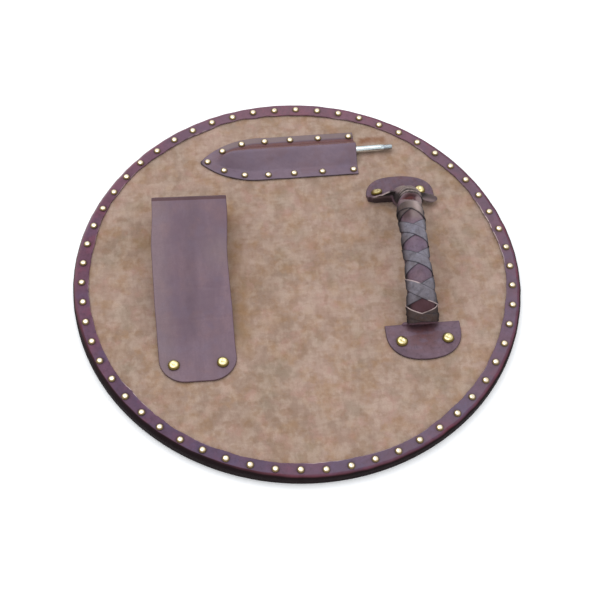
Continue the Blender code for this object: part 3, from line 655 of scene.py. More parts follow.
def make_lining(material):
    """Make the suede lining, a little uneven, and smoothed flat toward and under the band."""
    segments = 480
    radii = np.concatenate([np.linspace(0.003, LINING_RADIUS - 0.002, 96), [LINING_RADIUS]])
    theta = np.arange(segments) * math.tau / segments
    radius, angle = np.meshgrid(radii, theta, indexing="ij")
    x, y = radius * np.cos(angle), radius * np.sin(angle)
    relief = 0.00016 * ripple(x, y, 0.035, 21) + 0.00008 * ripple(x, y, 0.011, 22)
    relief = np.minimum(relief - 0.00005, 0.0002)
    relief = relief * smooth((BACK_RADIUS - 0.004 - radius) / 0.006) - 0.00005
    top = np.stack([x, y, LINING_TOP + relief], -1)
    rings = len(radii)
    base = np.array([[0.0, 0.0, LINING_TOP - 0.0001], [0.0, 0.0, LINING_BOTTOM]])
    low = np.stack([x[-1], y[-1], np.full(segments, LINING_BOTTOM)], -1)
    points = np.concatenate([top.reshape(-1, 3), low, base])
    count = rings * segments
    faces = grid_quads(rings + 1, segments, 0, True)
    for k in range(segments):
        faces.append((count + segments, k, (k + 1) % segments))
        faces.append((count + segments + 1, count + k, count + (k + 1) % segments))
    mottle = 0.55 + 0.45 * smooth(0.5 + ripple(x, y, 0.02, 26))
    bar = 0.7 + 0.3 * ripple(x, y, 0.008, 28)
    stain = 1.0 * smooth((0.0185 - np.abs(x - 0.1090)) / 0.005) * smooth((0.0062 - np.abs(y - 0.1868)) / 0.004) * bar
    grip_x = node_centre("hand_grip").x
    stain = stain + 0.20 * hump(np.hypot((x - grip_x - 0.028) / 0.5, y + 0.02), 0.050) * mottle
    stain = stain + 0.10 * smooth(ripple(x, y, 0.05, 25) - 0.25)
    strap_x = node_centre("arm_strap").x
    strap_side = strap_x + STRAP_WIDTH / 2 - 0.02 * y
    # Ochre tint: along the strap's right side it is painted shadow from the raised strap; the other terms are ochre
    # patches in the suede.
    ochre_and_shadow = 0.55 * hump(x - strap_side - 0.007, 0.010) * smooth((y + 0.115) / 0.04) * smooth((0.125 - y) / 0.04)
    ochre_and_shadow = ochre_and_shadow + 0.35 * hump(np.hypot(x - strap_x + 0.052, (y - 0.055) / 1.6), 0.013)
    ochre_and_shadow = ochre_and_shadow + 0.30 * hump(np.hypot(x - 0.125, (y - 0.182) / 0.4), 0.014)
    ochre_and_shadow = ochre_and_shadow * mottle + 0.15 * smooth(ripple(x, y, 0.045, 27) - 0.2)
    # Painted shadow: darker suede beside the strap's left edge and beside the grip, where the raised leather shades
    # it.
    painted_shadow = 0.22 * hump(np.hypot(x - strap_x + 0.055, (y + 0.02) / 1.9), 0.017)
    painted_shadow = painted_shadow + 0.18 * hump(np.hypot((x - grip_x + 0.030) / 0.7, y - 0.045), 0.022)
    dark = painted_shadow * mottle
    tail = np.zeros(segments + 2)
    attributes = {"stain": stain, "ochre": ochre_and_shadow, "dark": dark}
    for key, values in attributes.items():
        attributes[key] = np.concatenate([np.clip(values, 0, 1).ravel(), tail])
    lining = add_mesh("suede_back", points, faces, attributes)
    return dress(lining, material, "suede", "suede_lining")


def make_strap(material):
    """Make the arm strap, folded at its crest and foot, in the axes its rivets give."""
    near = (node_centre("strap_rivet_1") + node_centre("strap_rivet_2")) / 2
    far = (node_centre("strap_rivet_3") + node_centre("strap_rivet_4")) / 2
    ahead = (far - near).normalized()
    aside = Vector((ahead.y, -ahead.x))
    length = (far - near).length + STRAP_NEAR_RIVET_INSET + STRAP_FAR_RIVET_INSET
    start = near - ahead * STRAP_NEAR_RIVET_INSET
    half = STRAP_THICKNESS / 2
    foot = length - STRAP_FAR_TAB
    corners = ((0.0, half), (STRAP_NEAR_TAB, half), (foot - STRAP_FOLD_RUN, STRAP_RISE - half),
               (foot, half), (length, half))
    line = Line(corners, STRAP_RADII)
    marks = np.concatenate([edge_steps(line.length, 190), line.marks[18:-1]])
    marks = np.unique(np.round(marks, 6))
    marks = marks[np.concatenate([[True], np.diff(marks) > 0.00008])]
    marks[-1] = line.length
    rows = []
    for mark in marks:
        narrowed = 0.0
        for corner, from_end in ((STRAP_NEAR_CORNER, mark), (STRAP_FAR_CORNER, line.length - mark)):
            short = max(corner - from_end, 0.0)
            narrowed += corner - math.sqrt(corner ** 2 - short ** 2)
        width = STRAP_WIDTH / 2 - narrowed
        places = edge_steps(2 * width, 64) - width
        rows.append(np.stack([places, np.full(len(places), mark)], -1))
    flat = np.array(rows)
    u, v = flat[..., 0], flat[..., 1]
    waver = 0.00025 * ripple(v, v * 0, 0.05, 31) * np.sign(u) * smooth(abs(u) / (STRAP_WIDTH / 2))
    waver = waver * smooth(v / 0.03) * smooth((line.length - v) / 0.03)

    def place(across, distance):
        along, up = line.at(distance)
        back, rise = line.normal(distance, 0.0006)
        ramp = smooth((distance - STRAP_NEAR_TAB) / 0.05) * smooth((line.length - 0.07 - distance) / 0.03)
        share = across / (STRAP_WIDTH / 2)
        cup = -0.0006 * share ** 2 * ramp
        sag = 0.00025 * ripple(across, distance, 0.045, 32) * ramp
        raised = smooth((distance - STRAP_NEAR_TAB) / 0.02) * smooth((line.length - STRAP_FAR_TAB - distance) / 0.02)
        along = along - 0.0009 * share * raised
        bow = 0.0007 * smooth((distance - 0.02) / 0.03) + 0.0021 * hump(distance - 0.150, 0.075)
        across = across + waver - bow * smooth((0.205 - distance) / 0.055)
        x = start.x + ahead.x * along + aside.x * across
        y = start.y + ahead.y * along + aside.y * across
        middle = np.stack([x, y, BACK + up + (cup + sag) * rise], -1)
        normal = np.stack([ahead.x * back, ahead.y * back, rise], -1)
        return middle, normal

    rivets = 0.0
    for number in (1, 2):
        away = node_centre(f"strap_rivet_{number}") - start
        rivets = rivets + hump(np.hypot(u - away.dot(aside), v - away.dot(ahead)), 0.0095)
    relief = 0.00010 * ripple(u, v, 0.016, 33) - 0.00035 * rivets
    crease = 0.00034 * hump(v - 0.073 - 0.002 * ripple(u, v, 0.06, 34), 0.0011)
    crease = crease + 0.00030 * hump(v - 0.108 - 0.003 * ripple(u, v, 0.07, 35), 0.0012)
    relief = relief - crease * smooth(0.6 + ripple(u, v, 0.03, 36))
    points, faces, distance = sheet_surface(flat, STRAP_THICKNESS, place, relief)
    edge = 1 - np.clip(distance / 0.0011, 0, 1)
    both = np.tile(v.ravel(), 2)
    crest = line.length - STRAP_FAR_TAB - STRAP_RISE - 0.0006
    # Painted shade: beyond the crest, the fold's far side takes the edge colour and is darker and redder.
    fold = smooth((both - crest) / 0.0008)
    across_all = np.tile(u.ravel(), 2) / (STRAP_WIDTH / 2)
    warm_tint = 0.25 * smooth(np.tile(ripple(u, v, 0.05, 37).ravel(), 2) - 0.2)
    grey = 0.22 * smooth((-across_all - 0.35) / 0.5) + 0.25 * hump(both - 0.150, 0.02) * smooth(across_all / 0.8)
    column = 0.20 * hump(across_all + 0.15 - 0.25 * (both / line.length), 0.25) * smooth((both - 0.03) / 0.05)
    attributes = {"edge": np.maximum(edge, 0.80 * fold), "dark": column * 0.55 + 0.10 * fold,
                  "warm_tint": warm_tint * (1 - fold), "grey": grey * (1 - fold), "dark_red": 0.50 * fold}
    strap = add_mesh("arm_strap_leather", points, faces, attributes)
    return dress(strap, material, "strap_leather", "arm_strap")


GRIP_X = node_centre("hand_grip").x
GRIP_NEAR_END = node_centre("grip_rivet_1").y - NEAR_GRIP_RIVET_INSET
GRIP_FAR_END = node_centre("grip_rivet_3").y + FAR_GRIP_RIVET_INSET


def grip_line():
    """Return the middle line of the grip as (y, height above the lining)."""
    near = GRIP_NEAR_END + NEAR_TAB_DEPTH - GRIP_TAB_OVERLAP
    far = GRIP_FAR_END - FAR_TAB_DEPTH + GRIP_TAB_OVERLAP
    shoulder = far - GRIP_NECK_RUN
    crest = shoulder - GRIP_SHOULDER_RUN
    corners = ((near, GRIP_NEAR_HEIGHT), (near + GRIP_ELBOW_RUN, GRIP_ELBOW_HEIGHT),
               (crest, GRIP_CREST_HEIGHT), (shoulder, GRIP_SHOULDER_HEIGHT), (far, GRIP_FAR_HEIGHT))
    return Line(corners, GRIP_RADII)


def neck_aside(line, distance):
    """Return how far the grip's middle line lies to the right of its tabs, at a distance along it."""
    neck = line.length - GRIP_NECK_RUN - GRIP_SHOULDER_RUN
    return GRIP_NECK_ASIDE * smooth((distance - neck + GRIP_NECK_ASIDE_LEAD) / GRIP_NECK_ASIDE_RUN)


def grip_surface(line, distance, grow, angle):
    """Return points on the grip's round surface, grown outward; angle 0 is the top, +90 degrees +X."""
    flare = smooth(distance / GRIP_FLARE_LENGTH)
    swell = smooth(distance / GRIP_SWELL_LENGTH)
    half_width = GRIP_NEAR_WIDTH / 2 * (1 - flare) + GRIP_DIAMETER / 2 * flare + grow
    half_height = GRIP_NEAR_THICKNESS / 2 * (1 - swell) + GRIP_DIAMETER / 2 * swell + grow
    along, up = line.at(distance)
    back, rise = line.normal(distance, 0.006)
    reach = half_height * np.cos(angle)
    middle = GRIP_X + neck_aside(line, distance)
    return np.stack([middle + half_width * np.sin(angle), along + back * reach, BACK + up + rise * reach], -1)


def tab_surface(end_y, inward, depth, corner_lift, neck_lift):
    """Return the points and faces of one half-round tab; its straight edge may be lifted on a fold."""
    columns, rows = 61, 31
    across = np.sin(np.linspace(-math.pi / 2, math.pi / 2, columns))
    bow = np.maximum(1 - np.abs(across) ** TAB_ROUNDNESS, 0.0) ** (1 / TAB_ROUNDNESS)
    reach = TAB_SIDE + (depth - TAB_SIDE) * bow
    share = (1 - np.cos(np.linspace(0, math.pi, rows))) / 2
    side = np.repeat(across[None], rows, 0)
    tuck = TAB_CORNER_BACK * smooth((-side - 0.72) / 0.28) * (corner_lift > 0)
    reach = reach[None] - tuck
    drawn_in = 0.0038 * smooth((-side - 0.35) / 0.65) * (corner_lift > 0)
    flat = np.stack([GRIP_X + TAB_WIDTH / 2 * side + drawn_in + 0.5 * tuck * (1 - share[:, None]),
                     end_y + inward * (depth - tuck - share[:, None] * reach)], -1)
    run = share[:, None] * reach
    lift = corner_lift * np.maximum(1 - run / TAB_LIFT_DEPTH, 0.0) ** 2
    rising = smooth((0.92 - np.abs(side - 0.05)) / 0.66)
    lift = lift + neck_lift * rising * np.maximum(1 - run / 0.0135, 0.0) ** 2
    lift = lift * smooth((1.0 - side) / 0.25 + 0.35)

    def place(x, y):
        normal = np.zeros((*x.shape, 3))
        normal[..., 2] = 1.0
        return np.stack([x, y, BACK + TAB_THICKNESS / 2 + lift], -1), normal

    points, faces, _ = sheet_surface(flat, TAB_THICKNESS, place)
    points[len(points) // 2:, 2] = BACK
    return points, faces, flat


def flap_surface():
    """Return the points and faces of the tongue of leather that curls off the far tab's right corner."""
    rows = []
    for share in np.concatenate([np.linspace(0.0, 0.6, 12), 0.6 + 0.4 * np.sin(np.linspace(0, 1, 14)[1:] * math.pi / 2)]):
        half = 0.0047 * math.sqrt(max(1 - max((share - 0.62) / 0.385, 0.0) ** 2, 0.01))
        places = edge_steps(2 * half, 26) - half
        rows.append(np.stack([np.full(len(places), share * FLAP_LENGTH), places], -1))
    flat = np.array(rows)
    root = np.array([GRIP_X + 0.0198, GRIP_FAR_END - FAR_TAB_DEPTH - 0.0005, BACK + 0.0165])
    across_way = np.array([0.0, 0.86, 0.51])

    def place(along, across):
        share = along / FLAP_LENGTH
        x = root[0] + along * 0.985
        y = root[1] + across_way[1] * across - 0.0034 * np.sin(math.pi * share) - 0.0026 * share
        z = root[2] + across_way[2] * across - 0.0020 * smooth(share / 0.4) - 0.0085 * share - 0.02 * across ** 2 / 0.0047
        normal = np.zeros((*along.shape, 3))
        normal[..., 1] = -across_way[2]
        normal[..., 2] = across_way[1]
        return np.stack([x, y, z], -1), normal

    points, faces, _ = sheet_surface(flat, TAB_THICKNESS, place)
    return points, faces


def ball_surface(centre, radii):
    """Return the points and faces of a small ellipsoid."""
    levels = np.linspace(-math.pi / 2, math.pi / 2, 13)[1:-1]
    angles = np.arange(20) * math.tau / 20
    level, angle = np.meshgrid(levels, angles, indexing="ij")
    unit = np.stack([np.cos(level) * np.cos(angle), np.cos(level) * np.sin(angle), np.sin(level)], -1)
    points = np.concatenate([unit.reshape(-1, 3), [[0, 0, -1.0], [0, 0, 1.0]]]) * np.array(radii) + np.array(centre)
    faces = grid_quads(11, 20, 0, True)
    for k in range(20):
        faces.append((220, k, (k + 1) % 20))
        faces.append((221, 200 + k, 200 + (k + 1) % 20))
    return points, faces


def grip_places(line, points):
    """Return each point's distance along the grip's middle line and its angle round it."""
    marks = np.linspace(0.0, line.length, 500)
    along, up = line.at(marks)
    nearest = np.empty(len(points), int)
    for first in range(0, len(points), 4000):
        part = points[first:first + 4000]
        away = (part[:, 1:2] - along) ** 2 + (part[:, 2:3] - BACK - up) ** 2
        nearest[first:first + 4000] = away.argmin(1)
    distance = marks[nearest]
    back, rise = line.normal(distance, 0.006)
    height = (points[:, 1] - along[nearest]) * back + (points[:, 2] - BACK - up[nearest]) * rise
    return distance, np.arctan2(points[:, 0] - GRIP_X - neck_aside(line, distance), height)


def outline_distance(points, flat):
    """Return how far points lie from a flat grid's outline, in plan."""
    outline = flat.reshape(-1, 2)[grid_rim(*flat.shape[:2])]
    start, step = outline, np.roll(outline, -1, 0) - outline
    squared = np.maximum((step ** 2).sum(-1), 1e-18)
    distance = np.empty(len(points))
    for first in range(0, len(points), 2000):
        part = points[first:first + 2000, None, :2] - start[None]
        share = np.clip((part * step).sum(-1) / squared, 0.0, 1.0)
        distance[first:first + 2000] = np.linalg.norm(part - share[..., None] * step, axis=-1).min(1)
    return distance


def melt(name, shells, voxel, rounds):
    """Join closed shells into one skin and soften it."""
    points, faces = [], []
    for shell_points, shell_faces in shells:
        first = sum(len(p) for p in points)
        points.append(shell_points)
        faces += [tuple(k + first for k in face) for face in shell_faces]
    rough = add_mesh(name, np.concatenate(points), faces)
    remesh = rough.modifiers.new("skin", "REMESH")
    remesh.mode = "VOXEL"
    remesh.voxel_size = voxel
    soften = rough.modifiers.new("soften", "SMOOTH")
    soften.factor = 0.5
    soften.iterations = rounds
    evaluated = rough.evaluated_get(bpy.context.evaluated_depsgraph_get())
    skin = bpy.data.meshes.new_from_object(evaluated)
    bpy.data.objects.remove(rough)
    return skin


def mesh_arrays(mesh):
    """Return a mesh's points and point normals as arrays."""
    points = np.empty(len(mesh.vertices) * 3)
    mesh.vertices.foreach_get("co", points)
    normals = np.empty(len(mesh.vertices) * 3)
    mesh.vertex_normals.foreach_get("vector", normals)
    return points.reshape(-1, 3), normals.reshape(-1, 3)


def make_grip(material):
    """Make the rolled grip and its two tabs as one skin, with the puckers at its far bend."""
    line = grip_line()
    distances = np.linspace(0.0, line.length, 150)
    angles = np.arange(56) * math.tau / 56
    distance, angle = np.meshgrid(distances, angles, indexing="ij")
    tube = grip_surface(line, distance, 0.0, angle)
    faces = grid_quads(150, 56, 0, True)
    faces.append(list(range(56)))
    faces.append(list(range(149 * 56, 150 * 56)))
    near_points, near_faces, near_flat = tab_surface(GRIP_NEAR_END, 1, NEAR_TAB_DEPTH, 0.0, 0.0)
    far_points, far_faces, far_flat = tab_surface(
        GRIP_FAR_END, -1, FAR_TAB_DEPTH, TAB_CORNER_LIFT, TAB_NECK_LIFT)
    foot_y = GRIP_NEAR_END + NEAR_TAB_DEPTH
    nub = ball_surface((GRIP_X - 0.0185, foot_y - 0.0012, BACK + 0.0040), (0.0042, 0.0022, 0.0030))
    shells = ((tube.reshape(-1, 3), faces), (near_points, near_faces), (far_points, far_faces), nub, flap_surface())
    skin = melt("hand_grip_leather", shells, 0.00076, 4)
    points, normals = mesh_arrays(skin)
    x, y, z = points.T
    distance, angle = grip_places(line, points)
    on_tube = smooth((z - BACK - 0.010) / 0.006)
    turned = np.abs(angle)

    neck = line.length - GRIP_NECK_RUN - GRIP_SHOULDER_RUN
    bent = distance - neck - FOLD_START + 0.0016 * angle - 0.0006 * ripple(x, z, 0.02, 43)
    folds = np.cos(bent * math.tau / FOLD_SPACING)
    fold_zone = smooth((bent + 0.0026) / 0.0012) * smooth((0.0142 - bent) / 0.002)
    fold_zone = fold_zone * smooth((2.3 - turned) / 0.5) * on_tube
    hollow = np.hypot((x - GRIP_X - 0.0030) / 0.0112, (distance - neck - HOLLOW_START) / 0.0066)
    hollow = smooth((1.28 - hollow) / 0.55) * (turned < 1.6) * on_tube
    slimmed = smooth((distance - neck - 0.002) / 0.008) * on_tube
    relief = 0.00115 * folds * fold_zone - 0.0042 * hollow - 0.0014 * slimmed
    relief = relief + 0.00022 * ripple(x, y, 0.015, 41) * smooth((z - BACK - 0.004) / 0.004)
    for number in (1, 2, 3, 4):
        centre = node_centre(f"grip_rivet_{number}") - Vector((0.0, FAR_RIVET_DRAW if number > 2 else 0.0))
        relief = relief - 0.00035 * hump(np.hypot(x - centre.x, y - centre.y), 0.0095) * (normals[:, 2] > 0.3)
    points = points + normals * relief[:, None]
    leaning = node_centre("grip_rivet_3") - Vector((0.0, FAR_RIVET_DRAW))
    away = np.hypot(x - leaning.x, y - leaning.y)
    uphill = np.clip(leaning.y - y + LEAN_ASIDE * (x - leaning.x), 0, None)
    points[:, 2] += RIVET_LEAN * uphill * hump(away, 0.011) * (normals[:, 2] > 0.3) * (1 - on_tube)
    points[:, 2] = np.maximum(points[:, 2], BACK)
    skin.vertices.foreach_set("co", points.ravel())

    near_away = outline_distance(points, near_flat)
    far_away = outline_distance(points, far_flat)
    low = smooth((BACK + 0.013 - z) / 0.006)
    edge = (1 - np.clip(np.minimum(near_away, far_away) / 0.0012, 0, 1)) * low
    far_edge_y = GRIP_FAR_END - FAR_TAB_DEPTH
    # Painted shade together with the edge's own dark face: the wall under the far tab's lifted cut edge is darker,
    # greyer and redder.
    front = smooth((far_edge_y + 0.0016 - y) / 0.0008) * smooth((y - far_edge_y + 0.004) / 0.002)
    front = front * smooth((GRIP_X - 0.0105 - x) / 0.003) * smooth((normals[:, 2] * -1 + 0.35) / 0.2)
    cut = smooth((far_edge_y + 0.0022 - y) / 0.0008) * hump(normals[:, 2] - 0.62, 0.24) * (y > far_edge_y - 0.003)
    cut = cut * smooth((GRIP_X - 0.012 - x) / 0.003) * (z > BACK + 0.002)
    on_flap = smooth((x - GRIP_X - 0.0178) / 0.002) * smooth((far_edge_y + 0.0045 - y) / 0.001)
    on_flap = on_flap * (y > far_edge_y - 0.014)
    far_neck = smooth((distance - neck - 0.011) / 0.003) * on_tube
    near_middle = np.hypot((x - GRIP_X) / 1.1, y - GRIP_NEAR_END - 0.030)
    warm_tint = 1.0 * hump(near_middle, 0.0190) * (z < BACK + 0.012) * smooth(0.9 + ripple(x, y, 0.012, 42))
    lower_patch = smooth((0.0335 - distance) / 0.003) * on_tube
    # Painted shade and highlight: the grooves between the folds are darkened and the ridges lightened, and the whole
    # fold zone is darker.
    groove = smooth((0.05 - folds) / 0.5) * fold_zone
    sheen = smooth((distance - neck + 0.034) / 0.008) * smooth((1.15 - turned) / 0.5) * on_tube
    # Painted shade on the tube's sides as they turn away, except beside the hollow.
    side = smooth((turned - 0.85) / 0.55) * on_tube
    right_side = smooth((x - GRIP_X - 0.0045) / 0.004)
    flap_rim = on_flap * hump(y - far_edge_y + 0.0078, 0.0016)
    # Painted shadow on the near tab under the foot of the tube.
    below_tube = hump(y - GRIP_NEAR_END - NEAR_TAB_DEPTH + 0.0020, 0.0060) * smooth((0.019 - np.abs(x - GRIP_X)) / 0.004)
    below_tube = below_tube * smooth((BACK + 0.007 - z) / 0.002)
    # Painted shade on the lower left of the tube's panel below the shoulder, with a red-brown tint.
    left_low = smooth((0.05 - angle) / 0.45) * smooth((neck - 0.018 - distance) / 0.004) * sheen
    # Painted shade in the hollow, deepest toward its far top; its dark red is the leather inside.
    hollow_top = smooth((distance - neck - HOLLOW_START - 0.0012) / 0.0030)
    beside_hollow = smooth((x - GRIP_X - 0.0100) / 0.003) * smooth((distance - neck + 0.012) / 0.003)
    beside_hollow = beside_hollow * smooth((0.004 - distance + neck) / 0.003) * on_tube
    # Darkening: painted shade in the grooves, in the hollow, on the tube's sides, under the lifted edge, under the
    # tube and on the panel's lower left, plus darker patches on the flap, on the lower tube and on the neck's left
    # side.
    dark = 0.35 * lower_patch + 0.90 * groove + hollow * (0.40 + 0.35 * hollow_top) + 0.68 * side * (1 - beside_hollow)
    dark = dark + 0.28 * front + on_flap * (0.38 - 0.30 * flap_rim) + 0.45 * below_tube + 0.58 * left_low
    dark = dark + 0.36 * fold_zone * (1 - groove) + 0.12 * smooth((0.062 - distance) / 0.004) * on_tube
    dark = dark + 0.55 * smooth((GRIP_X - 0.0060 - x) / 0.003) * smooth((distance - neck - 0.002) / 0.004) * on_tube
    # Painted highlight along the ridges of the folds.
    ridge_line = smooth((folds - 0.72) / 0.20) * fold_zone * (1 - side)
    pale = np.clip(0.80 * cut + 0.42 * ridge_line + 0.14 * flap_rim + 0.30 * beside_hollow, 0, 1)
    dark_red = np.clip(hollow * (1 - 0.3 * right_side) + 0.55 * lower_patch + 0.16 * front + 0.25 * below_tube, 0, 1)
    dark_red = np.clip(dark_red + 0.40 * left_low, 0, 1)
    bright = sheen * hump(angle - 0.15, 0.55)
    grey = 0.30 * sheen + 0.45 * bright + 0.45 * on_flap + 0.55 * fold_zone + 0.5 * far_neck
    grey = np.clip(grey + 0.5 * beside_hollow + 0.55 * front, 0, 1)
    grey = grey * (1 - hollow)
    blotches = smooth(ripple(x, y, 0.009, 44) + 0.2) * smooth((y - far_edge_y - 0.002) / 0.003) * (1 - on_tube)
    warm_tint = warm_tint + 0.35 * blotches + 0.30 * on_flap
    cool = 0.60 * hump(distance - 0.076, 0.022) * on_tube
    attributes = {"edge": edge, "pale": pale, "warm_tint": warm_tint, "dark": np.clip(dark, 0, 0.92), "dark_red": dark_red, "grey": grey,
                  "cool": cool}
    for key, values in attributes.items():
        layer = skin.attributes.new(key, "FLOAT", "POINT")
        layer.data.foreach_set("value", values.astype(np.float32))
    skin.shade_smooth()
    grip = bpy.data.objects.new("hand_grip_leather", skin)
    bpy.context.scene.collection.objects.link(grip)
    return dress(grip, material, "grip_leather", "hand_grip")


def make_lace(material):
    """Make the lace as two bands wound opposite ways; the second lies over the first where they cross."""
    line = grip_line()
    near = LACE_NEAR_MARGIN
    far = line.length - GRIP_SHOULDER_RUN - GRIP_NECK_RUN - LACE_FAR_MARGIN
    turns = LACE_CROSSINGS - 1

    def along_grip(turn):
        share = np.clip(2 * turn / turns - 1, -1.0, 1.0)
        share = share * (1 + LACE_END_CROWDING - LACE_END_CROWDING * share * share)
        return (near + far) / 2 + (far - near) / 2 * share + LACE_SWING * np.sin(math.tau * turn)

    samples = int((turns + 2 * LACE_END_TURN) * 90)
    turn = np.linspace(-LACE_END_TURN, turns + LACE_END_TURN, samples)[:, None]
    loop = np.linspace(0, math.tau, 24, endpoint=False)
    across = np.sign(np.cos(loop)) * np.abs(np.cos(loop)) ** 0.35
    through = np.sign(np.sin(loop)) * np.abs(np.sin(loop)) ** 0.8
    points, faces, edges, pales, wears, greys, darks = [], [], [], [], [], [], []
    for hand, over in ((1, 0.0), (-1, 1.0)):
        half = LACE_WIDTH / 2 * (1 + 0.05 * ripple(turn * 0.05, turn * 0, 0.02, 50 + hand))
        slim = 1 - 0.66 * smooth((turn - 3.60) / 0.25) * (across[None] > 0)
        slim = slim - 0.42 * smooth((0.34 - turn) / 0.12) * (across[None] < 0)
        distance = along_grip(turn) + across[None] * half * slim
        lift = 0.0
        if over:
            for whole in range(2 * turns + 1):
                other = whole - turn
                inside = (other >= -LACE_END_TURN) & (other <= turns + LACE_END_TURN)
                beside = np.abs(distance - along_grip(other))
                cover = smooth((LACE_WIDTH / 2 + 0.0016 - beside) / 0.0016) * inside
                lift = np.maximum(lift, cover * LACE_THICKNESS * 1.02)
        crown = 0.00018 * (1 - across[None] ** 2)
        middle = LACE_CLEARANCE + LACE_THICKNESS / 2 + lift
        grow = middle + through[None] * (LACE_THICKNESS / 2) + crown * (through[None] > 0)
        grow = grow + 0.00008 * ripple(turn * 0.08, across[None] * 0.004, 0.006, 60 + hand)
        band = grip_surface(line, distance, grow, hand * math.tau * turn + LACE_TWIST)
        first = sum(len(p) for p in points)
        points.append(band.reshape(-1, 3))
        faces += grid_quads(samples, 24, first, True)
        faces.append([first + k for k in range(24)])
        faces.append([first + (samples - 1) * 24 + k for k in range(24)])
        side = np.abs(across[None]) * np.ones_like(turn)
        fading = smooth((turn - 3.72) / 0.2) * smooth(across[None] / 0.5)
        edges.append((smooth((side - 0.82) / 0.12) * (1 - fading)).ravel())
        upper_edge = smooth((across[None] - 0.80) / 0.12)
        lower_edge = smooth((-across[None] - 0.80) / 0.12)
        bottom_arm = smooth((0.30 - turn) / 0.04) * smooth((turn + 0.02) / 0.03)
        pale = upper_edge * bottom_arm
        if over:
            pale = pale + upper_edge * smooth((turn - 1.0) / 0.03) * smooth((1.27 - turn) / 0.03)
            pale = pale + lower_edge * smooth((0.95 - turn) / 0.03) * smooth((turn - 0.72) / 0.03)
        pale = pale * smooth(1.1 + ripple(turn * 0.08, turn * 0, 0.012, 70 + hand))
        from_top = np.sin(math.tau * turn * hand + LACE_TWIST)
        far_start = smooth((turn - 3.50) / 0.20) * np.ones_like(distance)
        # Painted highlight across the middle of the far wrap.
        pale = pale + 0.62 * far_start * hump(from_top - 0.38, 0.26) * smooth((0.9 - np.abs(across[None])) / 0.3)
        pales.append(pale.ravel())
        low_end = smooth((0.34 - turn) / 0.05) * np.ones_like(distance)
        under = 0.5 - 0.5 * np.cos(math.tau * turn)
        far_end = smooth((turn - 3.50) / 0.40) * np.ones_like(distance)
        shone = far_end * hump(from_top - 0.30, 0.5)
        greys.append((0.75 * shone).ravel())
        wears.append((1.0 * low_end + 0.85 * far_end).ravel())
        # Painted shade on the left of the far wrap, opposite its painted highlight.
        left_far = far_start * smooth((-from_top - 0.15) / 0.4)
        # Painted shade on the lace round the grip's sides and underside.
        around = smooth((under - 0.12) / 0.26)
        darks.append((0.46 * low_end + 0.80 * around * (1 - 0.5 * low_end) + 0.30 * left_far).ravel())
    points = np.concatenate(points)
    floor = BACK + TAB_THICKNESS + GAP
    reach = 0.002
    low = points[:, 2] < floor + reach
    points[low, 2] = floor + reach * np.exp((points[low, 2] - floor - reach) / reach)
    pale = np.clip(np.concatenate(pales), 0, 1)
    edge = np.concatenate(edges) * (1 - pale)
    dark = np.clip(np.concatenate(darks), 0, 0.9) * (1 - pale)
    attributes = {"edge": edge, "pale": pale * 0.85, "warm_tint": np.concatenate(wears), "dark": dark,
                  "grey": np.concatenate(greys)}
    lace = add_mesh("grip_lacing", points, faces, attributes)
    return dress(lace, material, "lace_leather", "grip_lace")


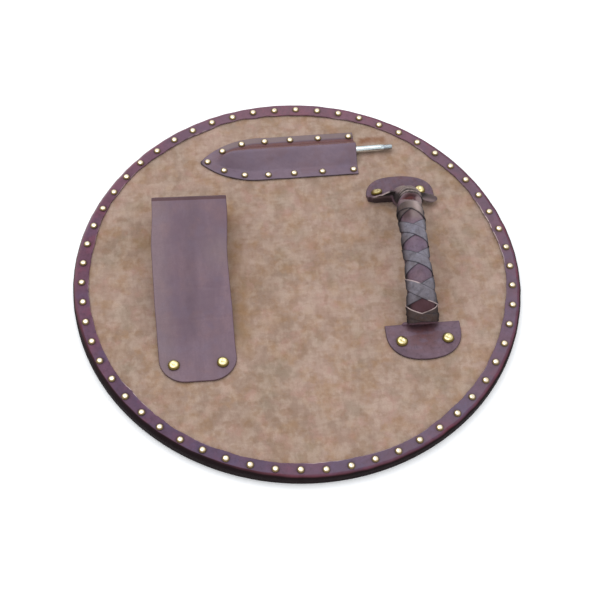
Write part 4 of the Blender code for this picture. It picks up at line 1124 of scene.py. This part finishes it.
def make_sheath(material):
    """Make the sheath, ridged over the blade, with its flanges pulled down by the tacks."""
    low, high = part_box("spike_sheath")
    mouth, middle_y = high.x, (low.y + high.y) / 2
    half_width_full = (high.y - low.y) / 2
    tip = low.x - NOSE_TIP_CUT
    nose_start = tip + NOSE_LENGTH
    nose_radius = (NOSE_LENGTH ** 2 + half_width_full ** 2) / (2 * half_width_full)

    def half_width(x):
        into = np.maximum(nose_start - x, 0.0)
        return half_width_full - nose_radius + np.sqrt(nose_radius ** 2 - into ** 2)

    def height(x, offset):
        pocket = np.maximum(half_width(x) - FLANGE_WIDTH, 0.0001)
        ridge = RIDGE_OFFSET * pocket / POCKET_HALF_WIDTH
        side = np.where(offset > ridge, pocket - ridge, pocket + ridge)
        slope = 1 + FOLD_ROUNDING - np.hypot((offset - ridge) / side * (1 + FOLD_ROUNDING), FOLD_ROUNDING)
        bent = (slope + FOLD_ROUNDING) ** 2 / (4 * FOLD_ROUNDING)
        slope = np.where(slope < -FOLD_ROUNDING, 0.0, np.where(slope < FOLD_ROUNDING, bent, slope))
        fullness = (pocket - NOSE_FLAT) / (POCKET_HALF_WIDTH * NOSE_FULL_SHARE - NOSE_FLAT)
        return SHEATH_RIDGE * smooth(fullness) * slope

    rows = []
    for x in mouth - edge_steps(mouth - low.x, 170):
        width = float(half_width(x))
        offsets = edge_steps(2 * width, 96) - width
        rows.append(np.stack([np.full(len(offsets), x), offsets], -1))
    flat = np.array(rows)
    tacks = [node_centre(f"sheath_tack_{number:02}") for number in range(1, 14)]
    pressed = 0.0
    for tack in tacks:
        away = np.hypot(flat[..., 0] - tack.x, flat[..., 1] + middle_y - tack.y)
        pressed = np.maximum(pressed, hump(away, 0.0065))
    flange = smooth((np.abs(flat[..., 1]) - half_width(flat[..., 0]) + FLANGE_WIDTH) / 0.004)

    def place(x, offset):
        rise = height(x, offset)
        step = 0.0004
        slope_y = (height(x, offset + step) - height(x, offset - step)) / (2 * step)
        slope_x = (height(x + step, offset) - height(x - step, offset)) / (2 * step)
        normal = np.stack([-slope_x, -slope_y, np.ones_like(rise)], -1)
        normal = normal / np.linalg.norm(normal, axis=-1, keepdims=True)
        loose = 0.00045 * flange * (1 - pressed) * (0.6 + 0.6 * ripple(x, offset, 0.03, 81))
        sag = 0.0003 * ripple(x, offset, 0.03, 82) * smooth(rise / 0.006)
        floor = BACK + SHEATH_THICKNESS / 2
        return np.stack([x, middle_y + offset, floor + rise + np.maximum(loose, 0) + sag], -1), normal

    relief = 0.00010 * ripple(flat[..., 0], flat[..., 1], 0.012, 83) - 0.00040 * pressed
    points, faces, distance = sheet_surface(flat, SHEATH_THICKNESS, place, relief)
    x, offset = np.tile(flat[..., 0].ravel(), 2), np.tile(flat[..., 1].ravel(), 2)
    edge = 1 - np.clip(distance / 0.0012, 0, 1)
    pocket = half_width(x) - FLANGE_WIDTH
    ridge = RIDGE_OFFSET * pocket / POCKET_HALF_WIDTH
    body = smooth((x - tip - 0.020) / 0.016)
    far_slope = smooth((offset - ridge - 0.0002) / 0.0012) * smooth((pocket + 0.0052 - offset) / 0.0022)
    # The far slope beyond the ridge is warmer, darker and redder: partly the stretched leather's own reddish tone,
    # partly painted shade on a slope turned away.
    warm_tint = 0.95 * far_slope * body
    # Painted shade in the crease at the foot of the far slope; the nose's tip is darker too.
    dark = 0.22 * hump(offset - pocket - 0.0045, 0.0012) * body + 0.75 * smooth((tip + 0.006 - x) / 0.005)
    on_far_flange = smooth((offset - pocket - 0.0048) / 0.0016) * body
    # Painted light: the near slope is lightened a little to offset its shading.
    near_slope = smooth((ridge - 0.0005 - offset) / 0.002) * smooth((offset + pocket) / 0.003) * smooth((x - tip - 0.012) / 0.02)
    attributes = {"edge": edge, "warm_tint": warm_tint + 0.18 * on_far_flange, "dark": dark, "grey": 0.55 * on_far_flange,
                  "dark_red": 0.22 * far_slope * body, "pale": 0.03 * near_slope}
    sheath = add_mesh("spike_sheath_leather", points, faces, attributes)
    return dress(sheath, material, "sheath_leather", "spike_sheath")


def make_spike(material):
    """Make the spike: a diamond blade in the sheath, a round shank and a threaded end."""
    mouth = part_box("spike_sheath")[1].x
    low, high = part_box("steel_spike")
    centre_y = (low.y + high.y) / 2
    base_x = mouth - MOUTH_MARGIN
    screw_start = high.x - SCREW_LENGTH
    tilt = BLADE_THICKNESS / 2 / BLADE_LENGTH
    blade = np.linspace(base_x - BLADE_LENGTH * 0.995, base_x, 24)
    shoulder = np.linspace(base_x, base_x + BLADE_SHOULDER, 12)[1:]
    shank = np.linspace(base_x + BLADE_SHOULDER, screw_start - 0.0004, 12)[1:]
    step = np.array([screw_start, screw_start + 0.0002])
    screw = np.linspace(screw_start + 0.0005, high.x, 200)
    x = np.concatenate([blade, shoulder, shank, step, screw])[:, None]
    angle = (np.arange(48) * math.tau / 48)[None]
    share = np.clip((x - base_x + BLADE_LENGTH) / BLADE_LENGTH, 0.0, 1.0)
    into = smooth((x - base_x) / BLADE_SHOULDER)
    power = 1 + into
    width = BLADE_WIDTH / 2 * share * (1 - into) + SHANK_DIAMETER / 2 * into
    height = BLADE_THICKNESS / 2 * share * (1 - into) + SHANK_DIAMETER / 2 * into
    reach = (np.abs(np.cos(angle)) ** power + np.abs(np.sin(angle)) ** power) ** (-1 / power)
    winding = np.cos((x - screw_start) * math.tau / THREAD_PITCH - angle)
    cut = THREAD_DEPTH * (0.5 - 0.5 * np.clip(winding * 1.5, -1, 1))
    runout = smooth((x - screw_start - 0.0006) / 0.0008)
    screw_radius = SCREW_DIAMETER / 2 - cut * runout - 0.0007 * smooth((x - high.x + 0.0009) / 0.0009)
    on_screw = x >= screw_start
    width = np.where(on_screw, screw_radius, width)
    height = np.where(on_screw, screw_radius, height)
    chamfer = 0.0004 * smooth((x - screw_start + 0.0012) / 0.0008) * (x < screw_start)
    y = centre_y + (width - chamfer) * reach * np.cos(angle)
    middle_z = BACK + BLADE_THICKNESS / 2 + tilt * (x - base_x)
    z = middle_z + (height - chamfer) * reach * np.sin(angle)
    points = np.stack([np.repeat(x, 48, 1), y, z], -1)
    faces = grid_quads(len(x), 48, 0, True)
    faces.append(list(range(48)))
    faces.append(list(range((len(x) - 1) * 48, len(x) * 48)))
    dark = 0.44 * (x > screw_start - 0.0004) + 0.30 * hump(x - screw_start, 0.0008) + np.zeros_like(y)
    spike = add_mesh("steel_spike_and_thread", points, faces, {"dark": dark.ravel()})
    spike.data.set_sharp_from_angle(angle=math.radians(38))
    return dress(spike, material, "spike_steel", "steel_spike")


def head_surface(centre, seat, radius, height, pin_radius, pin_length, dimple, rim_start, seed, lean_back=0.0):
    """Return the points, faces and rim values of one domed head with its pin, a little uneven."""
    draw = np.random.default_rng(seed)
    sides = 28
    angle = np.arange(sides) * math.tau / sides
    outer = [(math.cos(t), math.sin(t)) for t in np.linspace(0.0, math.pi / 2, 12)[:-1]]
    profile = [(0.08, -pin_length), (1.0, -pin_length), (1.0, 0.0)]
    rings, rim = [], []
    for share, level in profile:
        rings.append((share * pin_radius, level))
        rim.append(1.0)
    rings.append((radius * 0.93, 0.0))
    rim.append(1.0)
    for share, rise in outer:
        dip = dimple * math.exp(-(share / 0.30) ** 2)
        level = height * (0.10 + 0.90 * rise ** 0.85) if share < 0.999 else height * 0.06
        rings.append((radius * share, level - dip))
        rim.append(float(smooth((share - rim_start) / 0.26)))
    tilt_x, tilt_y = draw.normal(0, 0.035, 2)
    tilt_x = tilt_x + LEAN_ASIDE * lean_back
    tilt_y = tilt_y - lean_back
    lobes = draw.uniform(0, math.tau, 3)
    points = []
    for ring_radius, level in rings:
        share = ring_radius / radius
        wobble = 1 + 0.012 * np.cos(3 * angle + lobes[0]) + 0.010 * np.cos(5 * angle + lobes[1])
        x = ring_radius * np.cos(angle) * wobble
        y = ring_radius * np.sin(angle) * wobble
        facets = 0.03 * height * np.cos(4 * angle + lobes[2]) * min(share * 2, 1) * (level > 0)
        lean = (x * tilt_x + y * tilt_y + lean_back * radius * 0.5) * (level > 0)
        points.append(np.stack([centre.x + x, centre.y + y, seat + level + facets + lean], -1))
    top = height - dimple + lean_back * radius * 0.5
    poles = np.array([[centre.x, centre.y, seat - pin_length], [centre.x, centre.y, seat + top]])
    count = len(rings)
    faces = grid_quads(count, sides, 0, True)
    for k in range(sides):
        faces.append((count * sides, k, (k + 1) % sides))
        faces.append((count * sides + 1, (count - 1) * sides + k, (count - 1) * sides + (k + 1) % sides))
    values = np.concatenate([np.repeat(rim, sides), [1.0, 0.0]])
    return np.concatenate([np.array(points).reshape(-1, 3), poles]), faces, values


def make_head(name, material, slot, centre, seat, sizes, seed, *nodes, lean_back=0.0):
    """Add one tack or rivet."""
    points, faces, rim = head_surface(centre, seat, *sizes, seed, lean_back)
    return dress(add_mesh(name, points, faces, {"edge": rim}), material, slot, *nodes)


def make_fasteners(tack_brass, rivet_brass):
    """Make the tacks of the band and the sheath, and the rivets of the strap and the grip."""
    tack = (TACK_HEAD_RADIUS, TACK_HEAD_HEIGHT, 0.0009, 0.008, 0.0, TACK_RIM_START)
    ring = SHIELD_RADIUS - RIM_TACK_INSET
    draw = np.random.default_rng(91)
    for number in range(RIM_TACKS):
        angle = RIM_TACK_TURN + math.tau * number / RIM_TACKS
        radius = ring + draw.uniform(-0.0006, 0.0009)
        centre = Vector((radius * math.cos(angle), radius * math.sin(angle)))
        seat = BAND_TOP - 0.0003
        make_head(f"rim_tack_{number + 1:02}", tack_brass, "brass_tack", centre, seat, tack, 100 + number)
    for number in range(1, 14):
        node = f"sheath_tack_{number:02}"
        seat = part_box(node)[1].z - TACK_HEAD_HEIGHT - 0.0003
        make_head(f"brass_{node}", tack_brass, "brass_tack", node_centre(node), seat, tack, 200 + number, node)
    for label in ("strap_rivet", "grip_rivet"):
        for number in range(1, 5):
            node = f"{label}_{number}"
            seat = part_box(node)[1].z - RIVET_HEAD_HEIGHT
            rivet = (RIVET_HEAD_RADIUS, RIVET_HEAD_HEIGHT, 0.002, seat - BOARD_BOTTOM, 0.0009, RIVET_RIM_START)
            lean_back = RIVET_LEAN if node == "grip_rivet_3" else 0.0
            far_pair = node in ("grip_rivet_3", "grip_rivet_4")
            draw_in = Vector((0.0, -FAR_RIVET_DRAW)) if far_pair else Vector((0.0, 0.0))
            make_head(f"brass_{node}", rivet_brass, "brass_rivet", node_centre(node) + draw_in, seat, rivet,
                      300 + number + 10 * len(label), node, lean_back=lean_back)


def make_floor():
    """Make the pale floor."""
    mesh = bpy.data.meshes.new("floor")
    reach = 6.0
    mesh.from_pydata([(-reach, -reach, 0), (reach, -reach, 0), (reach, reach, 0), (-reach, reach, 0)], [],
                     [(0, 1, 2, 3)])
    floor = bpy.data.objects.new("floor", mesh)
    floor.location.z = -0.0005
    bpy.context.scene.collection.objects.link(floor)
    shader = Shader("pale floor")
    tone = shader.blend(shader.noise(0.8, 2.0), (0.90, 0.90, 0.90, 1), (0.93, 0.93, 0.93, 1))
    mesh.materials.append(shader.finish(
        Base_Color=tone, Roughness=0.9, Emission_Color=(1.0, 1.0, 1.0, 1.0), Emission_Strength=0.22))


def make_lights():
    """Set a bright even sky and one large soft light over the shield."""
    world = bpy.data.worlds.new("sky")
    bpy.context.scene.world = world
    world.use_nodes = True
    background = world.node_tree.nodes["Background"]
    background.inputs["Color"].default_value = (0.93, 0.96, 1.0, 1.0)
    background.inputs["Strength"].default_value = 0.92
    for name, place, size, power in (("overhead", (-0.35, 0.55, 1.9), 1.6, 17.0),
                                     ("side fill", (1.6, -0.6, 1.2), 1.2, 3.0)):
        light = bpy.data.lights.new(name, "AREA")
        light.size = size
        light.energy = power
        lamp = bpy.data.objects.new(name, light)
        lamp.location = place
        lamp.rotation_mode = "QUATERNION"
        lamp.rotation_quaternion = (-Vector(place)).to_track_quat("-Z", "Y")
        bpy.context.scene.collection.objects.link(lamp)
    bpy.context.scene.view_settings.view_transform = "Standard"


def make_camera():
    """Set the camera at the photograph's viewpoint."""
    turn = Matrix.Rotation(CAMERA_AZIMUTH, 3, "Z")
    away = Vector((0.0, -math.cos(CAMERA_ELEVATION), math.sin(CAMERA_ELEVATION)))
    place = turn @ away * CAMERA_DISTANCE
    forward = -place.normalized()
    right = turn @ Vector((1.0, 0.0, 0.0))
    up = right.cross(forward)
    yaw = Matrix.Rotation(CAMERA_YAW, 3, up)
    forward, right = yaw @ forward, yaw @ right
    pitch = Matrix.Rotation(CAMERA_PITCH, 3, right)
    forward, up = pitch @ forward, pitch @ up
    roll = Matrix.Rotation(CAMERA_ROLL, 3, forward)
    right, up = roll @ right, roll @ up
    data = bpy.data.cameras.new("camera")
    data.lens = CAMERA_LENS
    data.sensor_width = SENSOR_WIDTH
    camera = bpy.data.objects.new("camera", data)
    axes = Matrix((right, up, -forward)).transposed().to_4x4()
    camera.matrix_world = Matrix.Translation(place + Vector((0, 0, CAMERA_TARGET_HEIGHT))) @ axes
    bpy.context.scene.collection.objects.link(camera)
    bpy.context.scene.camera = camera


def main():
    make_camera()
    make_lights()
    make_floor()
    band_leather = leather_material(
        "band leather", colour(112, 78, 97), colour(86, 60, 76), colour(124, 66, 82), colour(84, 74, 102),
        colour(50, 32, 40), 0.52, patches=0.60, shine=0.16, spots=0.24)
    strap_leather = leather_material(
        "strap leather", colour(122, 98, 108), colour(102, 80, 92), colour(122, 92, 94), colour(106, 92, 112),
        colour(76, 50, 54), 0.46, (1.0, 0.16, 1.0), spots=0.08)
    grip_leather = leather_material(
        "grip leather", colour(118, 93, 106), colour(92, 70, 82), colour(98, 58, 56), colour(100, 86, 106),
        colour(50, 34, 38), 0.44)
    lace_leather = leather_material(
        "lace leather", colour(128, 123, 134), colour(92, 84, 88), colour(80, 54, 40), colour(110, 110, 130),
        colour(34, 28, 36), 0.46, spots=0.42)
    sheath_leather = leather_material(
        "sheath leather", colour(121, 101, 114), colour(108, 89, 103), colour(106, 68, 58), colour(108, 95, 118),
        colour(50, 38, 42), 0.46, (0.5, 1.0, 1.0), 0.22, spots=0.10)
    tack_brass = brass_material("tack brass", colour(252, 236, 208), colour(138, 118, 84))
    rivet_brass = brass_material("rivet brass", colour(232, 216, 160), colour(124, 106, 56))
    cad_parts["wooden_board"].data.materials.clear()
    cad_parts["wooden_board"].data.materials.append(wood_material())
    make_cover(band_leather)
    make_lining(suede_material())
    make_strap(strap_leather)
    make_grip(grip_leather)
    make_lace(lace_leather)
    make_sheath(sheath_leather)
    make_spike(steel_material())
    make_fasteners(tack_brass, rivet_brass)


main()
